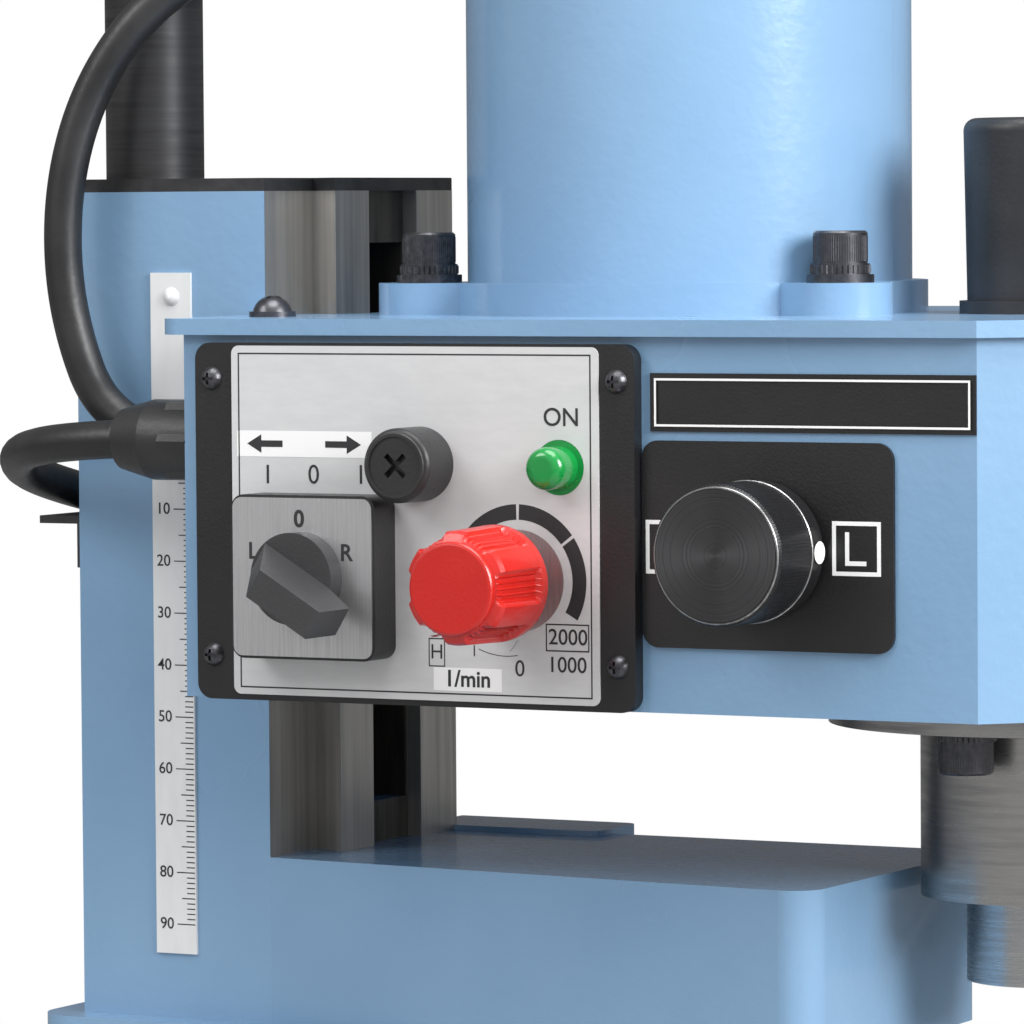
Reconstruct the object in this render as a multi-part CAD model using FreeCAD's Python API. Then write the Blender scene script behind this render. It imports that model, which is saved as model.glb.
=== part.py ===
import FreeCAD, Part
import math
import os

os.makedirs("parts", exist_ok=True)

# Driving dimensions of the machine, in millimetres
# The column's ledge face, the spindle and the deck set where everything lies
ledge_x = -70.0
deck_z = 225.0
spindle_reach = 143.6
motor_reach = 71.5
overrun = 2.0
fit_gap = 0.3
slide_gap = 0.12
running_gap = 0.05

# Base casting, its ways and its four mounting holes
base_length = 260.0
base_width = 170.0
base_height = 40.0
base_corner = 14.0
bolt_grip = 12.0
base_bolt_inset = 20.0
base_hole_r = 4.5
base_boss_r = 9.0
way_top = 50.0
way_half_width = 32.0
way_undercut = 6.0
way_rear_clear = 6.0

# Pedestal between the base and the column
pedestal_back = 50.0
pedestal_front = 40.0
pedestal_half_width = 44.0
pedestal_wall = 9.0
pedestal_top_drop = 32.0
pedestal_corner = 8.0
pedestal_flange_height = 12.0
pedestal_flange_reach = 14.0

# Column casting with its male dovetail and its forward foot
column_half_width = 37.5
column_back = 42.0
column_height = 127.1
dovetail_depth = 7.5
dovetail_half_width = 23.25
dovetail_neck_cut = 4.3
recess_left = 10.25
recess_right = 8.9
recess_depth = 3.0
cavity_back = 38.0
cavity_front = 8.0
cavity_left = 33.0
cavity_right = 12.0
cavity_low = 8.0
cavity_high = 117.0
slot_half_width = 8.0
foot_front = 119.0
foot_near = 49.4
foot_far = 28.5
foot_step_x = 40.0
foot_far_wide = 40.0
foot_step_height = 1.0
foot_corner = 6.0
cap_thickness = 2.5
cap_screw_r = 1.5
cap_screw_inset = 5.5

# Millimetre scale strip riveted on the column's near side
strip_back = 25.1
strip_front = 16.2
strip_top = 111.6
strip_length = 131.0
strip_thickness = 0.6
rivet_r = 1.8
rivet_inset = 4.6
rivet_rise = 1.0

# Lift screw that raises the head, and the handwheel on top
lift_back = 31.0
lift_side = -26.0
lift_screw_r = 4.0
lift_tube_r = 9.5
lift_tube_length = 86.0
lift_nut_half = 6.0
lift_nut_low = 54.0
lift_nut_height = 18.0
lift_arm_front = 17.0
lift_wheel_r = 38.0
lift_rim_r = 5.0
lift_wheel_hub_r = 11.0
lift_wheel_hub_height = 16.0
lift_wheel_clear = 2.0
lift_spoke_r = 3.5
lift_grip_r = 6.0
lift_grip_length = 32.0
lift_pin_r = 2.5

# Head casting with the spindle at its front
head_low = 33.2
head_high = 100.5
head_half_width = 68.0
head_corner_x = 160.2
head_chamfer = 34.0
head_wall = 7.0
head_rear_wall = 30.0
quill_boss_r = 31.0
plate_thickness = 3.0
plate_overhang = 2.0
plate_corner = 4.0
plate_screw_x = 8.8
plate_screw_y = 50.0
plate_front_screw_y = 20.0
plate_wing = 4.5
plate_wing_clear = 0.8
ring_bolt_turn = -3.5

# Motor, its flange and its bolts
motor_r = 42.2
motor_flange_r = 45.2
motor_flange_thickness = 6.0
motor_height = 112.0
motor_bolt_ring = 49.5
motor_lug_r = 9.6
motor_cap_height = 9.0
motor_step = 1.2

# Quill, spindle and the ring under the head
quill_r = 22.5
quill_low = -4.0
quill_high = 78.0
ring_r = 39.5
ring_thickness = 5.0
ring_bolt_circle = 31.0
spindle_r = 9.0
spindle_nose_r = 14.0
spindle_nose_length = 16.0
taper_large_r = 8.9
taper_small_r = 7.2
taper_length = 62.0
boot_r = 14.2
boot_low_r = 13.5
boot_base_r = 15.0
boot_height = 36.0
bearing_height = 12.0
bearing_r = 17.0

# Control panel and what it carries
panel_back = 4.3
panel_front = 95.1
panel_low = 33.2
panel_high = 99.1
panel_thickness = 3.0
panel_corner = 3.0
sheet_back = 12.2
sheet_front = 88.1
sheet_low = 34.3
sheet_high = 98.6
sheet_thickness = 0.25
panel_screw_back = 7.7
panel_screw_front = 91.5
panel_screw_low = 41.4
panel_screw_high = 92.5
switch_x = 31.4
switch_z = 56.6
switch_side = 30.0
switch_thickness = 7.7
switch_knob_r = 8.4
switch_knob_base = 4.5
switch_handle_half = 2.85
switch_handle_rise = 18.0
switch_handle_reach = 14.2
switch_handle_heel = 7.8
switch_handle_lip = 7.0
switch_rest_angle = -31.0
fuse_x = 51.8
fuse_z = 77.3
fuse_r = 6.8
fuse_rise = 9.6
fuse_slot_half = 2.7
fuse_slot_width = 1.1
fuse_slot_depth = 1.4
fuse_slot_turn = 45.0
lamp_x = 80.1
lamp_z = 77.0
lamp_r = 3.85
lamp_rise = 6.9
speed_x = 71.7
speed_z = 56.5
speed_knob_r = 10.6
speed_knob_gap = 8.3
speed_knob_rise = 25.8
speed_disc_r = 8.0
speed_shaft_r = 3.0
speed_flutes = 14
device_r = 5.0
device_depth = 16.0

# Selector plate, selector knob and the label strip
selector_plate_front = 144.6
selector_low = 45.0
selector_high = 82.0
selector_x = 119.2
selector_z = 62.8
selector_knob_r = 12.5
selector_knob_rise = 19.0
selector_collar_r = 9.0
selector_collar_rise = 0.6
selector_shaft_r = 4.0
thin_plate = 0.8
label_low = 83.6
label_high = 94.0
label_back = 97.0

# Glands and cords
gland_y = -60.0
gland_z = 80.6
gland_r = 8.25
gland_body_share = 0.92
gland_nose_share = 0.7
gland_reach = 17.7
lead_gland_y = -44.8
lead_gland_r = 6.75
cord_r = 3.65
coil_x = -190.0
coil_y = -10.0
coil_r = 40.0
clip_width = 10.0
clip_thickness = 1.5
plug_r = 18.0
plug_length = 36.0
plug_pin_r = 2.4
plug_pin_length = 19.0
plug_pin_half = 9.5

# Gears between the motor and the spindle
gear_module = 1.0
feed_module = 1.25
motor_pinion_teeth = 20
idler_large_teeth = 52
idler_small_teeth = 22
spindle_gear_teeth = 52
gear_thickness = 8.0
gear_low = 81.0
idler_shaft_r = 4.0
motor_shaft_r = 4.0

# Quill feed with its pinion, hub, spokes and grips
feed_back = 31.0
feed_z = 46.0
feed_housing_rise = 15.0
quill_boss_rise = 18.0
idler_seat_depth = 3.0
feed_shaft_r = 6.0
feed_hub_r = 19.0
feed_hub_length = 30.0
feed_hub_gap = 4.0
feed_spoke_r = 4.0
feed_spoke_length = 92.0
feed_grip_r = 8.0
feed_grip_length = 40.0

feed_pinion_teeth = 16

# Saddle and table
saddle_length = 80.0
saddle_width = 130.0
saddle_top = 72.0
cross_way_top = 81.0
cross_way_half = 30.0
table_length = 240.0
table_depth = 110.0
table_top = 100.0
slot_width = 10.0
slot_foot_width = 16.0
slot_foot_height = 6.0
slot_depth = 13.0
slot_pitch = 36.0
feed_screw_r = 4.0
screw_cover = 2.0
nut_wall = 4.0
nut_half_length = 12.0
bracket_half_width = 26.0
wheel_r = 30.0
wheel_rim = 5.0
wheel_hub_r = 10.0
wheel_thickness = 9.0
dial_r = 15.0
dial_length = 14.0
crank_r = 5.0
crank_length = 28.0
bracket_thickness = 12.0
gib_thickness = 3.0

# Fasteners
m4_r = 2.0
m4_head_r = 3.5
m4_head_height = 4.0
m6_r = 3.0
m6_head_r = 5.0
m6_head_height = 6.0
m6_washer_r = 6.2
m6_washer_height = 1.5
m6_lock_r = 5.4
m6_lock_height = 2.0
m8_r = 4.0
m8_head_r = 6.5
m8_head_height = 8.0
hex_key_share = 0.5
socket_depth_share = 0.6
panel_screw_r = 2.2
panel_screw_rise = 1.6
dome_r = 3.75
dome_rise = 3.0
dome_washer_r = 4.4
dome_washer_height = 1.0

UP = FreeCAD.Vector(0, 0, 1)
AWAY = FreeCAD.Vector(0, 1, 0)
NEAR = FreeCAD.Vector(0, -1, 0)
FRONT = FreeCAD.Vector(1, 0, 0)


def save(name, *solids):
    """Write one sub-part, made of one solid or of several separate ones."""
    shape = solids[0] if len(solids) == 1 else Part.makeCompound(list(solids))
    shape.exportStep("parts/" + name + ".step")


def block(x0, x1, y0, y1, z0, z1):
    return Part.makeBox(x1 - x0, y1 - y0, z1 - z0, FreeCAD.Vector(x0, y0, z0))


def rod(radius, length, x, y, z, along=UP):
    return Part.makeCylinder(radius, length, FreeCAD.Vector(x, y, z), along)


def taper(radius_start, radius_end, length, x, y, z, along=UP):
    return Part.makeCone(radius_start, radius_end, length, FreeCAD.Vector(x, y, z), along)


def tube(outer, inner, length, x, y, z, along=UP):
    return rod(outer, length, x, y, z, along).cut(rod(inner, length, x, y, z, along))


def prism(points, z0, z1):
    """Upright prism on a closed outline of x and y pairs."""
    corners = [FreeCAD.Vector(x, y, z0) for x, y in points]
    wire = Part.makePolygon(corners + corners[:1])
    return Part.Face(wire).extrude(UP * (z1 - z0))


def upright_edges(shape, test):
    """Edges that run along Z and whose place passes the test."""
    chosen = []
    for edge in shape.Edges:
        if len(edge.Vertexes) != 2:
            continue
        a, b = edge.Vertexes[0].Point, edge.Vertexes[1].Point
        if abs(a.x - b.x) + abs(a.y - b.y) < 1e-6 and test(a):
            chosen.append(edge)
    return chosen


def rounded_block(x0, x1, y0, y1, z0, z1, radius):
    shape = block(x0, x1, y0, y1, z0, z1)
    return shape.makeFillet(radius, upright_edges(shape, lambda p: True))


def rounded_plate(x0, x1, z0, z1, y, thickness, radius):
    """Plate that faces the near side, with its back face at y."""
    shape = block(x0, x1, y - thickness, y, z0, z1)
    edges = [e for e in shape.Edges
             if abs(abs((e.lastVertex().Point - e.firstVertex().Point).y) - thickness) < 1e-6]
    return shape.makeFillet(radius, edges)


def turn_about(shape, degrees, x, y, z, axis=UP):
    copy = shape.copy()
    copy.rotate(FreeCAD.Vector(x, y, z), axis, degrees)
    return copy


def aim(shape, along):
    """Turn a shape that was built on +Z at the origin so that it points along a direction."""
    copy = shape.copy()
    turn = FreeCAD.Rotation(UP, along)
    copy.Placement = FreeCAD.Placement(FreeCAD.Vector(0, 0, 0), turn).multiply(copy.Placement)
    return copy


def socket_screw(head_r, head_h, shank_r, shank_l, place, along):
    """Socket head screw whose head sits on the place and points along a direction."""
    key_r = head_r * hex_key_share
    corners = [FreeCAD.Vector(key_r * math.cos(math.radians(60 * k)),
                              key_r * math.sin(math.radians(60 * k)),
                              head_h * (1 - socket_depth_share)) for k in range(6)]
    socket = Part.Face(Part.makePolygon(corners + corners[:1])).extrude(UP * head_h)
    head = rod(head_r, head_h, 0, 0, 0)
    head = head.makeChamfer(head_r / 12, [head.Edges[0]]).cut(socket)
    screw = head.fuse(rod(shank_r, shank_l + head_h / 4, 0, 0, -shank_l)).removeSplitter()
    screw = aim(screw, along)
    screw.translate(FreeCAD.Vector(*place))
    return screw


def dome_screw(radius, rise, shank_r, shank_l, place, along, turns=(0, 90)):
    """Domed screw with a cross recess, or a plain rivet where no turns are given."""
    ball_r = (radius * radius + rise * rise) / (2 * rise)
    ball = Part.makeSphere(ball_r, FreeCAD.Vector(0, 0, rise - ball_r))
    head = rod(radius, rise, 0, 0, 0).common(ball)
    wing, deep = radius * hex_key_share, rise * hex_key_share
    for angle in turns:
        cut = block(-wing, wing, -wing / 4, wing / 4, rise - deep, rise + deep)
        head = head.cut(turn_about(cut, angle, 0, 0, 0))
    if shank_l:
        head = head.fuse(rod(shank_r, shank_l + rise / 4, 0, 0, -shank_l))
    head = aim(head, along)
    head.translate(FreeCAD.Vector(*place))
    return head


def drill(shape, radius, length, places, along):
    for place in places:
        start = FreeCAD.Vector(*place) - along * overrun
        shape = shape.cut(Part.makeCylinder(radius, length + overrun, start, along))
    return shape


def gear(teeth, module, thickness, bore, first_angle=0.0):
    """Spur gear on +Z with thin teeth that leave backlash, its first tooth at an angle in degrees."""
    pitch_r = teeth * module / 2
    root_r, tip_r = pitch_r - 1.2 * module, pitch_r + 0.8 * module
    step = 2 * math.pi / teeth
    points = []
    for k in range(teeth):
        middle = math.radians(first_angle) + k * step
        for radius, half_share in ((root_r, -0.29), (tip_r, -0.12), (tip_r, 0.12), (root_r, 0.29)):
            angle = middle + half_share * step
            points.append((radius * math.cos(angle), radius * math.sin(angle)))
    return prism(points, 0, thickness).cut(rod(bore, thickness, 0, 0, 0))


spindle_x = ledge_x + spindle_reach
motor_x = ledge_x + motor_reach
base_half_x, base_half_y = base_length / 2, base_width / 2
# The saddle's screw lies in a groove along the middle of the way
feed_screw_z = way_top - feed_screw_r - screw_cover
screw_groove_half = feed_screw_r + nut_wall
screw_groove_depth = 2 * feed_screw_r + nut_wall
pedestal_x0 = ledge_x - pedestal_back
pedestal_x1 = ledge_x + pedestal_front
pedestal_reach = pedestal_half_width + pedestal_flange_reach
flange_bolt_inset = pedestal_flange_reach / 2
pedestal_bolt_places = [(x, y)
                        for y in (flange_bolt_inset - pedestal_reach, pedestal_reach - flange_bolt_inset)
                        for x in (pedestal_x0 + pedestal_back / 3, pedestal_x1 - pedestal_front / 3)]
bracket_bolt_z = base_height / 2
bracket_bolt_ys = (-way_half_width, way_half_width)
foot_low = deck_z - pedestal_top_drop


def make_base():
    """Base casting with the saddle's dovetail way on top and a sunk bolt seat at each corner."""
    base = rounded_block(-base_half_x, base_half_x, -base_half_y, base_half_y, 0, base_height, base_corner)
    bolt_x, bolt_y = base_half_x - base_bolt_inset, base_half_y - base_bolt_inset
    corners = [(sx * bolt_x, sy * bolt_y) for sx in (-1, 1) for sy in (-1, 1)]
    way_back = ledge_x + pedestal_front + pedestal_flange_reach + way_rear_clear
    profile = [(way_half_width - way_undercut, base_height), (way_half_width, way_top),
               (-way_half_width, way_top), (way_undercut - way_half_width, base_height)]
    points = [FreeCAD.Vector(way_back, y, z) for y, z in profile]
    way = Part.Face(Part.makePolygon(points + points[:1])).extrude(FRONT * (base_half_x - way_back))
    base = base.fuse(way)
    groove = block(way_back, base_half_x, -screw_groove_half, screw_groove_half,
                   way_top - screw_groove_depth, way_top)
    base = base.cut(groove)
    for x, y in corners:
        base = base.cut(rod(base_hole_r, base_height, x, y, 0))
        base = base.cut(rod(base_boss_r, base_height / 5, x, y, base_height - base_height / 5))
    places = [(x, y, base_height) for x, y in pedestal_bolt_places]
    base = drill(base, m8_r, bolt_grip, places, -UP)
    places = [(base_half_x, y, bracket_bolt_z) for y in bracket_bolt_ys]
    return drill(base, m4_r, bolt_grip, places, -FRONT).removeSplitter()


save("base", make_base())


def make_pedestal():
    """Hollow pedestal with a bolting flange below and a flat top for the column."""
    body = rounded_block(pedestal_x0, pedestal_x1, -pedestal_half_width, pedestal_half_width,
                         base_height, foot_low, pedestal_corner)
    flange = rounded_block(pedestal_x0, pedestal_x1, -pedestal_reach, pedestal_reach,
                           base_height, base_height + pedestal_flange_height, pedestal_corner)
    body = body.fuse(flange)
    hollow = block(pedestal_x0 + pedestal_wall, pedestal_x1 - pedestal_wall,
                   pedestal_wall - pedestal_half_width,
                   pedestal_half_width - pedestal_wall, base_height, foot_low - pedestal_flange_height)
    body = body.cut(hollow)
    places = [(x, y, base_height + pedestal_flange_height) for x, y in pedestal_bolt_places]
    body = drill(body, m8_r + fit_gap, pedestal_flange_height, places, -UP)
    places = [(x, y, foot_low) for x, y in column_bolt_places]
    return drill(body, m8_r + fit_gap, pedestal_flange_height, places, -UP).removeSplitter()


column_bolt_places = [(ledge_x + foot_front / 6, y)
                      for y in (-column_half_width / 2, column_half_width / 2)]
save("pedestal", make_pedestal())
bolt_seat = base_height + pedestal_flange_height
pedestal_bolts = [socket_screw(m8_head_r, m8_head_height, m8_r - running_gap,
                                      pedestal_flange_height + bolt_grip - overrun, (x, y, bolt_seat), UP)
                  for x, y in pedestal_bolt_places]


def dovetail_outline(grow, front_grow, far_grow=0.0):
    """Plan outline of the male dovetail, grown by a gap for its female slot."""
    neck = dovetail_half_width - dovetail_neck_cut
    front = ledge_x + dovetail_depth + front_grow
    return [(ledge_x - overrun * grow, -neck - grow), (front, -dovetail_half_width - grow),
            (front, dovetail_half_width + grow + far_grow),
            (ledge_x - overrun * grow, neck + grow + far_grow)]


def make_column():
    """Column casting: dovetail, hollow for the lift screw, and the foot that runs under the head."""
    top = deck_z + column_height
    back = ledge_x - column_back
    column = block(back, ledge_x, -column_half_width, column_half_width, foot_low, top)
    column = column.fuse(prism(dovetail_outline(0, 0), deck_z, top))
    recess_floor = ledge_x + dovetail_depth - recess_depth
    column = column.cut(block(recess_floor, ledge_x + dovetail_depth + overrun, -recess_left, recess_right,
                              deck_z, top))
    foot = prism([(ledge_x, -column_half_width), (ledge_x + foot_front, -foot_near),
                  (ledge_x + foot_front, foot_far), (ledge_x, foot_far)], foot_low, deck_z)
    foot_edges = upright_edges(foot, lambda p: p.x > ledge_x + foot_front / 2)
    foot = foot.makeFillet(foot_corner, foot_edges)
    step = block(ledge_x, ledge_x + foot_step_x, foot_far - foot_corner, foot_far_wide, foot_low,
                 deck_z + foot_step_height)
    step = step.makeFillet(foot_corner / 2, upright_edges(step, lambda p: p.x > ledge_x + foot_step_x / 2))
    column = column.fuse(foot).fuse(step)
    hollow = block(ledge_x - cavity_back, ledge_x - cavity_front, -cavity_left, cavity_right,
                   deck_z + cavity_low, deck_z + cavity_high)
    slot = block(ledge_x - cavity_front, ledge_x + dovetail_depth, -slot_half_width, slot_half_width,
                 deck_z + cavity_low, deck_z + cavity_high)
    column = column.cut(hollow).cut(slot)
    column = column.cut(rod(lift_screw_r + running_gap, column_height, lift_x, lift_y,
                            deck_z + cavity_high))
    places = [(x, y, top) for x, y in cap_screw_places]
    column = drill(column, cap_screw_r, dovetail_depth, places, -UP)
    column = drill(column, rivet_r / 2, strip_thickness * 5, [strip_rivet_place], AWAY)
    places = [(x, y, foot_low) for x, y in column_bolt_places]
    column = drill(column, m8_r, bolt_grip, places, UP)
    return column.removeSplitter()


lift_x = ledge_x - lift_back
lift_y = lift_side
strip_y = -column_half_width
strip_x0 = ledge_x - strip_back
strip_x1 = ledge_x - strip_front
strip_rivet_place = (strip_x0 + rivet_inset, strip_y, deck_z + strip_top - rivet_inset)
cap_screw_places = [(ledge_x - cap_screw_inset, y) for y in (-column_half_width + cap_screw_inset,
                                                              column_half_width - cap_screw_inset)]
cap_screw_places.append((ledge_x - column_back + cap_screw_inset, column_half_width - cap_screw_inset))
save("column", make_column())
column_bolts = [socket_screw(m8_head_r, m8_head_height, m8_r - running_gap,
                             pedestal_flange_height + bolt_grip - overrun,
                             (x, y, foot_low - pedestal_flange_height), -UP) for x, y in column_bolt_places]
save("frame_bolts", *pedestal_bolts, *column_bolts)



def make_column_cap():
    """Thin black plate that closes the column's top."""
    low = deck_z + column_height
    plate = block(ledge_x - column_back, ledge_x, -column_half_width, column_half_width, low,
                  low + cap_thickness)
    plate = plate.fuse(prism(dovetail_outline(0, 0), low, low + cap_thickness))
    plate = plate.cut(rod(lift_screw_r + running_gap, cap_thickness, lift_x, lift_y, low))
    places = [(x, y, low + cap_thickness) for x, y in cap_screw_places]
    plate = drill(plate, 2 * cap_screw_r + fit_gap, cap_screw_r, places, -UP)
    return drill(plate, cap_screw_r + fit_gap, cap_thickness, places, -UP).removeSplitter()


cap_top = deck_z + column_height + cap_thickness
save("column_cap", make_column_cap(),
     *[dome_screw(cap_screw_r * 2, cap_screw_r, cap_screw_r - running_gap,
                  cap_thickness + dovetail_depth / 2,
                                (x, y, cap_top - cap_screw_r), UP) for x, y in cap_screw_places])
strip = block(strip_x0, strip_x1, strip_y - strip_thickness, strip_y,
              deck_z + strip_top - strip_length, deck_z + strip_top)
rivet_seat = (strip_rivet_place[0], strip_y - strip_thickness, strip_rivet_place[2])
strip = drill(strip, rivet_r / 2 + fit_gap / 2, strip_thickness, [rivet_seat], AWAY)
rivet = dome_screw(rivet_r, rivet_rise, rivet_r / 2 - running_gap, strip_thickness * 5, rivet_seat, NEAR,
                   ())
save("scale_strip", strip, rivet)



def make_lift_tube():
    """Bearing tube that stands on the cap and carries the lift screw's collar."""
    return tube(lift_tube_r, lift_screw_r + running_gap, lift_tube_length, lift_x, lift_y, cap_top)


lift_wheel_z = cap_top + lift_tube_length + lift_wheel_clear
save("lift_tube", make_lift_tube())
screw_low = deck_z + cavity_low + lift_wheel_clear
save("lift_screw",
     rod(lift_screw_r, lift_wheel_z + lift_wheel_hub_height / 2 - screw_low, lift_x, lift_y, screw_low))


def make_lift_wheel():
    """Handwheel with a round rim, three spokes and a hub bored for the screw."""
    middle = lift_wheel_z + lift_wheel_hub_height / 2
    rim = Part.makeTorus(lift_wheel_r, lift_rim_r, FreeCAD.Vector(lift_x, lift_y, middle), UP)
    hub = rod(lift_wheel_hub_r, lift_wheel_hub_height, lift_x, lift_y, lift_wheel_z)
    wheel = rim.fuse(hub)
    for k in range(3):
        spoke = rod(lift_spoke_r, lift_wheel_r, lift_x, lift_y, middle, FRONT)
        wheel = wheel.fuse(turn_about(spoke, 120 * k + 60, lift_x, lift_y, middle))
    wheel = wheel.cut(rod(lift_screw_r, lift_wheel_hub_height / 2, lift_x, lift_y, lift_wheel_z))
    wheel = wheel.cut(rod(lift_pin_r + running_gap, lift_rim_r * 2, lift_x, lift_y - lift_wheel_r, middle))
    return wheel.removeSplitter()


def make_grip(radius, length, pin_r, pin_reach, x, y, z, along=UP):
    """Barrel grip on its pin, standing on a handwheel's rim."""
    grip = Part.makeCone(radius * 0.72, radius, length / 2)
    upper = Part.makeCone(radius, radius * 0.8, length / 2, FreeCAD.Vector(0, 0, length / 2))
    grip = grip.fuse(upper).fuse(rod(pin_r, pin_reach + overrun, 0, 0, -pin_reach)).removeSplitter()
    grip = aim(grip, along)
    grip.translate(FreeCAD.Vector(x, y, z))
    return grip


lift_grip_z = lift_wheel_z + lift_wheel_hub_height / 2 + lift_rim_r + running_gap
save("lift_wheel", make_lift_wheel(),
     make_grip(lift_grip_r, lift_grip_length, lift_pin_r, lift_rim_r, lift_x,
                                                lift_y - lift_wheel_r, lift_grip_z))


def make_lift_nut():
    """Nut on the lift screw, with the arm that reaches through the column's slot into the head."""
    low, high = deck_z + lift_nut_low, deck_z + lift_nut_low + lift_nut_height
    half = lift_nut_half
    arm_x1 = ledge_x - cavity_front - fit_gap
    nut = block(lift_x - half, arm_x1, lift_y - half, lift_y + half, low, high)
    link = block(arm_x1 - 2 * half, arm_x1, lift_y - half, slot_half_width - fit_gap, low, high)
    neck = block(arm_x1 - half, ledge_x + lift_arm_front, fit_gap - slot_half_width,
                 slot_half_width - fit_gap,
                 low, high)
    nut = nut.fuse(link).fuse(neck)
    return nut.cut(rod(lift_screw_r + running_gap, lift_nut_height, lift_x, lift_y, low)).removeSplitter()


save("lift_nut", make_lift_nut())

# The head casting, its plan outline and what is bored in it
head_back = ledge_x + slide_gap
head_corner = ledge_x + head_corner_x
head_front = head_corner + head_chamfer
head_front_half = head_half_width - head_chamfer
head_z0, head_z1 = deck_z + head_low, deck_z + head_high
feed_x = spindle_x - feed_back
feed_height = deck_z + feed_z
feed_pitch_r = feed_module * feed_pinion_teeth / 2
feed_tip_r = feed_pitch_r + 0.8 * feed_module
feed_pinion_half = feed_shaft_r + running_gap
boss_top = deck_z + feed_z + quill_boss_rise
housing_top = deck_z + feed_z + feed_housing_rise
housing_near = -(feed_pinion_half + head_wall)
idler_reach = gear_module * (motor_pinion_teeth + idler_large_teeth) / 2
spindle_gear_reach = gear_module * (idler_small_teeth + spindle_gear_teeth) / 2
shaft_span = spindle_reach - motor_reach
idler_along = (idler_reach ** 2 - spindle_gear_reach ** 2 + shaft_span ** 2) / (2 * shaft_span)
idler_x = motor_x + idler_along
idler_y = math.sqrt(idler_reach ** 2 - idler_along ** 2)
selector_shaft_x = ledge_x + selector_x
selector_shaft_z = deck_z + selector_z
plate_z0 = head_z1
plate_z1 = head_z1 + plate_thickness
plate_screw_places = [(ledge_x + plate_screw_x, y, plate_z1) for y in (-plate_screw_y, plate_screw_y)]
plate_screw_places += [(head_front - head_wall / 2, y, plate_z1)
                       for y in (-plate_front_screw_y, plate_front_screw_y)]
motor_bolt_places = [(motor_x + motor_bolt_ring * math.cos(math.radians(a)),
                      motor_bolt_ring * math.sin(math.radians(a))) for a in (90, -30, -150)]
ring_bolt_places = [(spindle_x + ring_bolt_circle * math.cos(math.radians(a + ring_bolt_turn)),
                     ring_bolt_circle * math.sin(math.radians(a + ring_bolt_turn))) for a in (-90, 30, 150)]
panel_y = -head_half_width
panel_screw_places = [(ledge_x + x, deck_z + z) for x in (panel_screw_back, panel_screw_front)
                      for z in (panel_screw_low, panel_screw_high)]
panel_devices = [(switch_x, switch_z), (fuse_x, fuse_z), (lamp_x, lamp_z), (speed_x, speed_z)]


def head_outline(inset, back):
    """Plan outline of the head with its two front chamfers, drawn in by a wall."""
    half = head_half_width - inset
    slope = inset * (math.sqrt(2) - 1)
    corner, front = head_corner - slope, head_front - inset
    front_half = head_front_half - slope
    return [(back, -half), (corner, -half), (front, -front_half), (front, front_half), (corner, half),
            (back, half)]


def make_head():
    """Head casting: walls, floor, quill boss, feed shaft housing and the female dovetail at the back."""
    head = prism(head_outline(0, head_back), head_z0, head_z1)
    hollow = prism(head_outline(head_wall, ledge_x + head_rear_wall), head_z0 + head_wall, head_z1)
    head = head.cut(hollow)
    head = head.fuse(rod(quill_boss_r, boss_top - head_z0, spindle_x, 0, head_z0))
    housing = block(feed_x - 2 * feed_shaft_r, spindle_x - quill_r, housing_near,
                    head_half_width - head_wall / 2,
                    head_z0, housing_top)
    head = head.fuse(housing)
    head = head.cut(rod(quill_r + running_gap, boss_top - head_z0, spindle_x, 0, head_z0))
    pocket_r = feed_tip_r + fit_gap
    head = head.cut(rod(pocket_r, 2 * (feed_pinion_half + fit_gap), feed_x, -feed_pinion_half - fit_gap,
                        feed_height, AWAY))
    head = head.cut(rod(feed_shaft_r + running_gap, head_half_width + feed_pinion_half + feed_shaft_r,
                        feed_x,
                        -feed_pinion_half - feed_shaft_r, feed_height, AWAY))
    head = head.cut(prism(dovetail_outline(slide_gap, slide_gap, gib_thickness), head_z0, head_z1))
    head = head.cut(block(head_back, ledge_x + lift_arm_front, -slot_half_width, slot_half_width,
                          deck_z + lift_nut_low, deck_z + lift_nut_low + lift_nut_height))
    head = head.cut(rod(idler_shaft_r, idler_seat_depth + overrun, idler_x, idler_y,
                        housing_top - idler_seat_depth))
    head = head.cut(rod(selector_shaft_r + running_gap, head_wall, selector_shaft_x, panel_y,
                        selector_shaft_z, AWAY))
    head = drill(head, m4_r, m8_head_height, [(x, y, plate_z0) for x, y, z in plate_screw_places], -UP)
    head = drill(head, m6_r, head_wall, [(x, y, head_z0) for x, y in ring_bolt_places], UP)
    head = drill(head, cap_screw_r, head_wall / 2, [(x, panel_y, z) for x, z in panel_screw_places], AWAY)
    places = [(ledge_x + x, panel_y, deck_z + z) for x, z in panel_devices]
    head = drill(head, device_r + fit_gap, head_wall + head_rear_wall, places, AWAY)
    glands = [(head_back, gland_y, deck_z + gland_z), (head_back, lead_gland_y, deck_z + gland_z)]
    head = drill(head, cord_r + fit_gap, head_rear_wall, glands, FRONT)
    gib_places = [(ledge_x + dovetail_depth / 2, head_half_width, z) for z in gib_screw_heights]
    head = drill(head, m4_r, head_half_width, gib_places, NEAR)
    return head.removeSplitter()


gib_screw_heights = [head_z0 + (head_z1 - head_z0) * share for share in (0.2, 0.5, 0.8)]
save("head_casting", make_head())


def make_gib():
    """Gib strip between the column's far flank and the head."""
    neck = dovetail_half_width - dovetail_neck_cut
    front = ledge_x + dovetail_depth
    near, far = slide_gap, gib_thickness
    points = [(head_back, neck + near), (front, dovetail_half_width + near),
              (front, dovetail_half_width + far), (head_back, neck + far)]
    return prism(points, head_z0, head_z1)


gib_seat_y = dovetail_half_width - dovetail_neck_cut / 2 + gib_thickness + fit_gap
gib_screw_length = head_half_width - gib_seat_y
save("head_gib", make_gib(), *[socket_screw(m4_head_r, m4_head_height, m4_r - running_gap, gib_screw_length,
                                  (ledge_x + dovetail_depth / 2, head_half_width + fit_gap, z), AWAY)
                     for z in gib_screw_heights])


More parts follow.
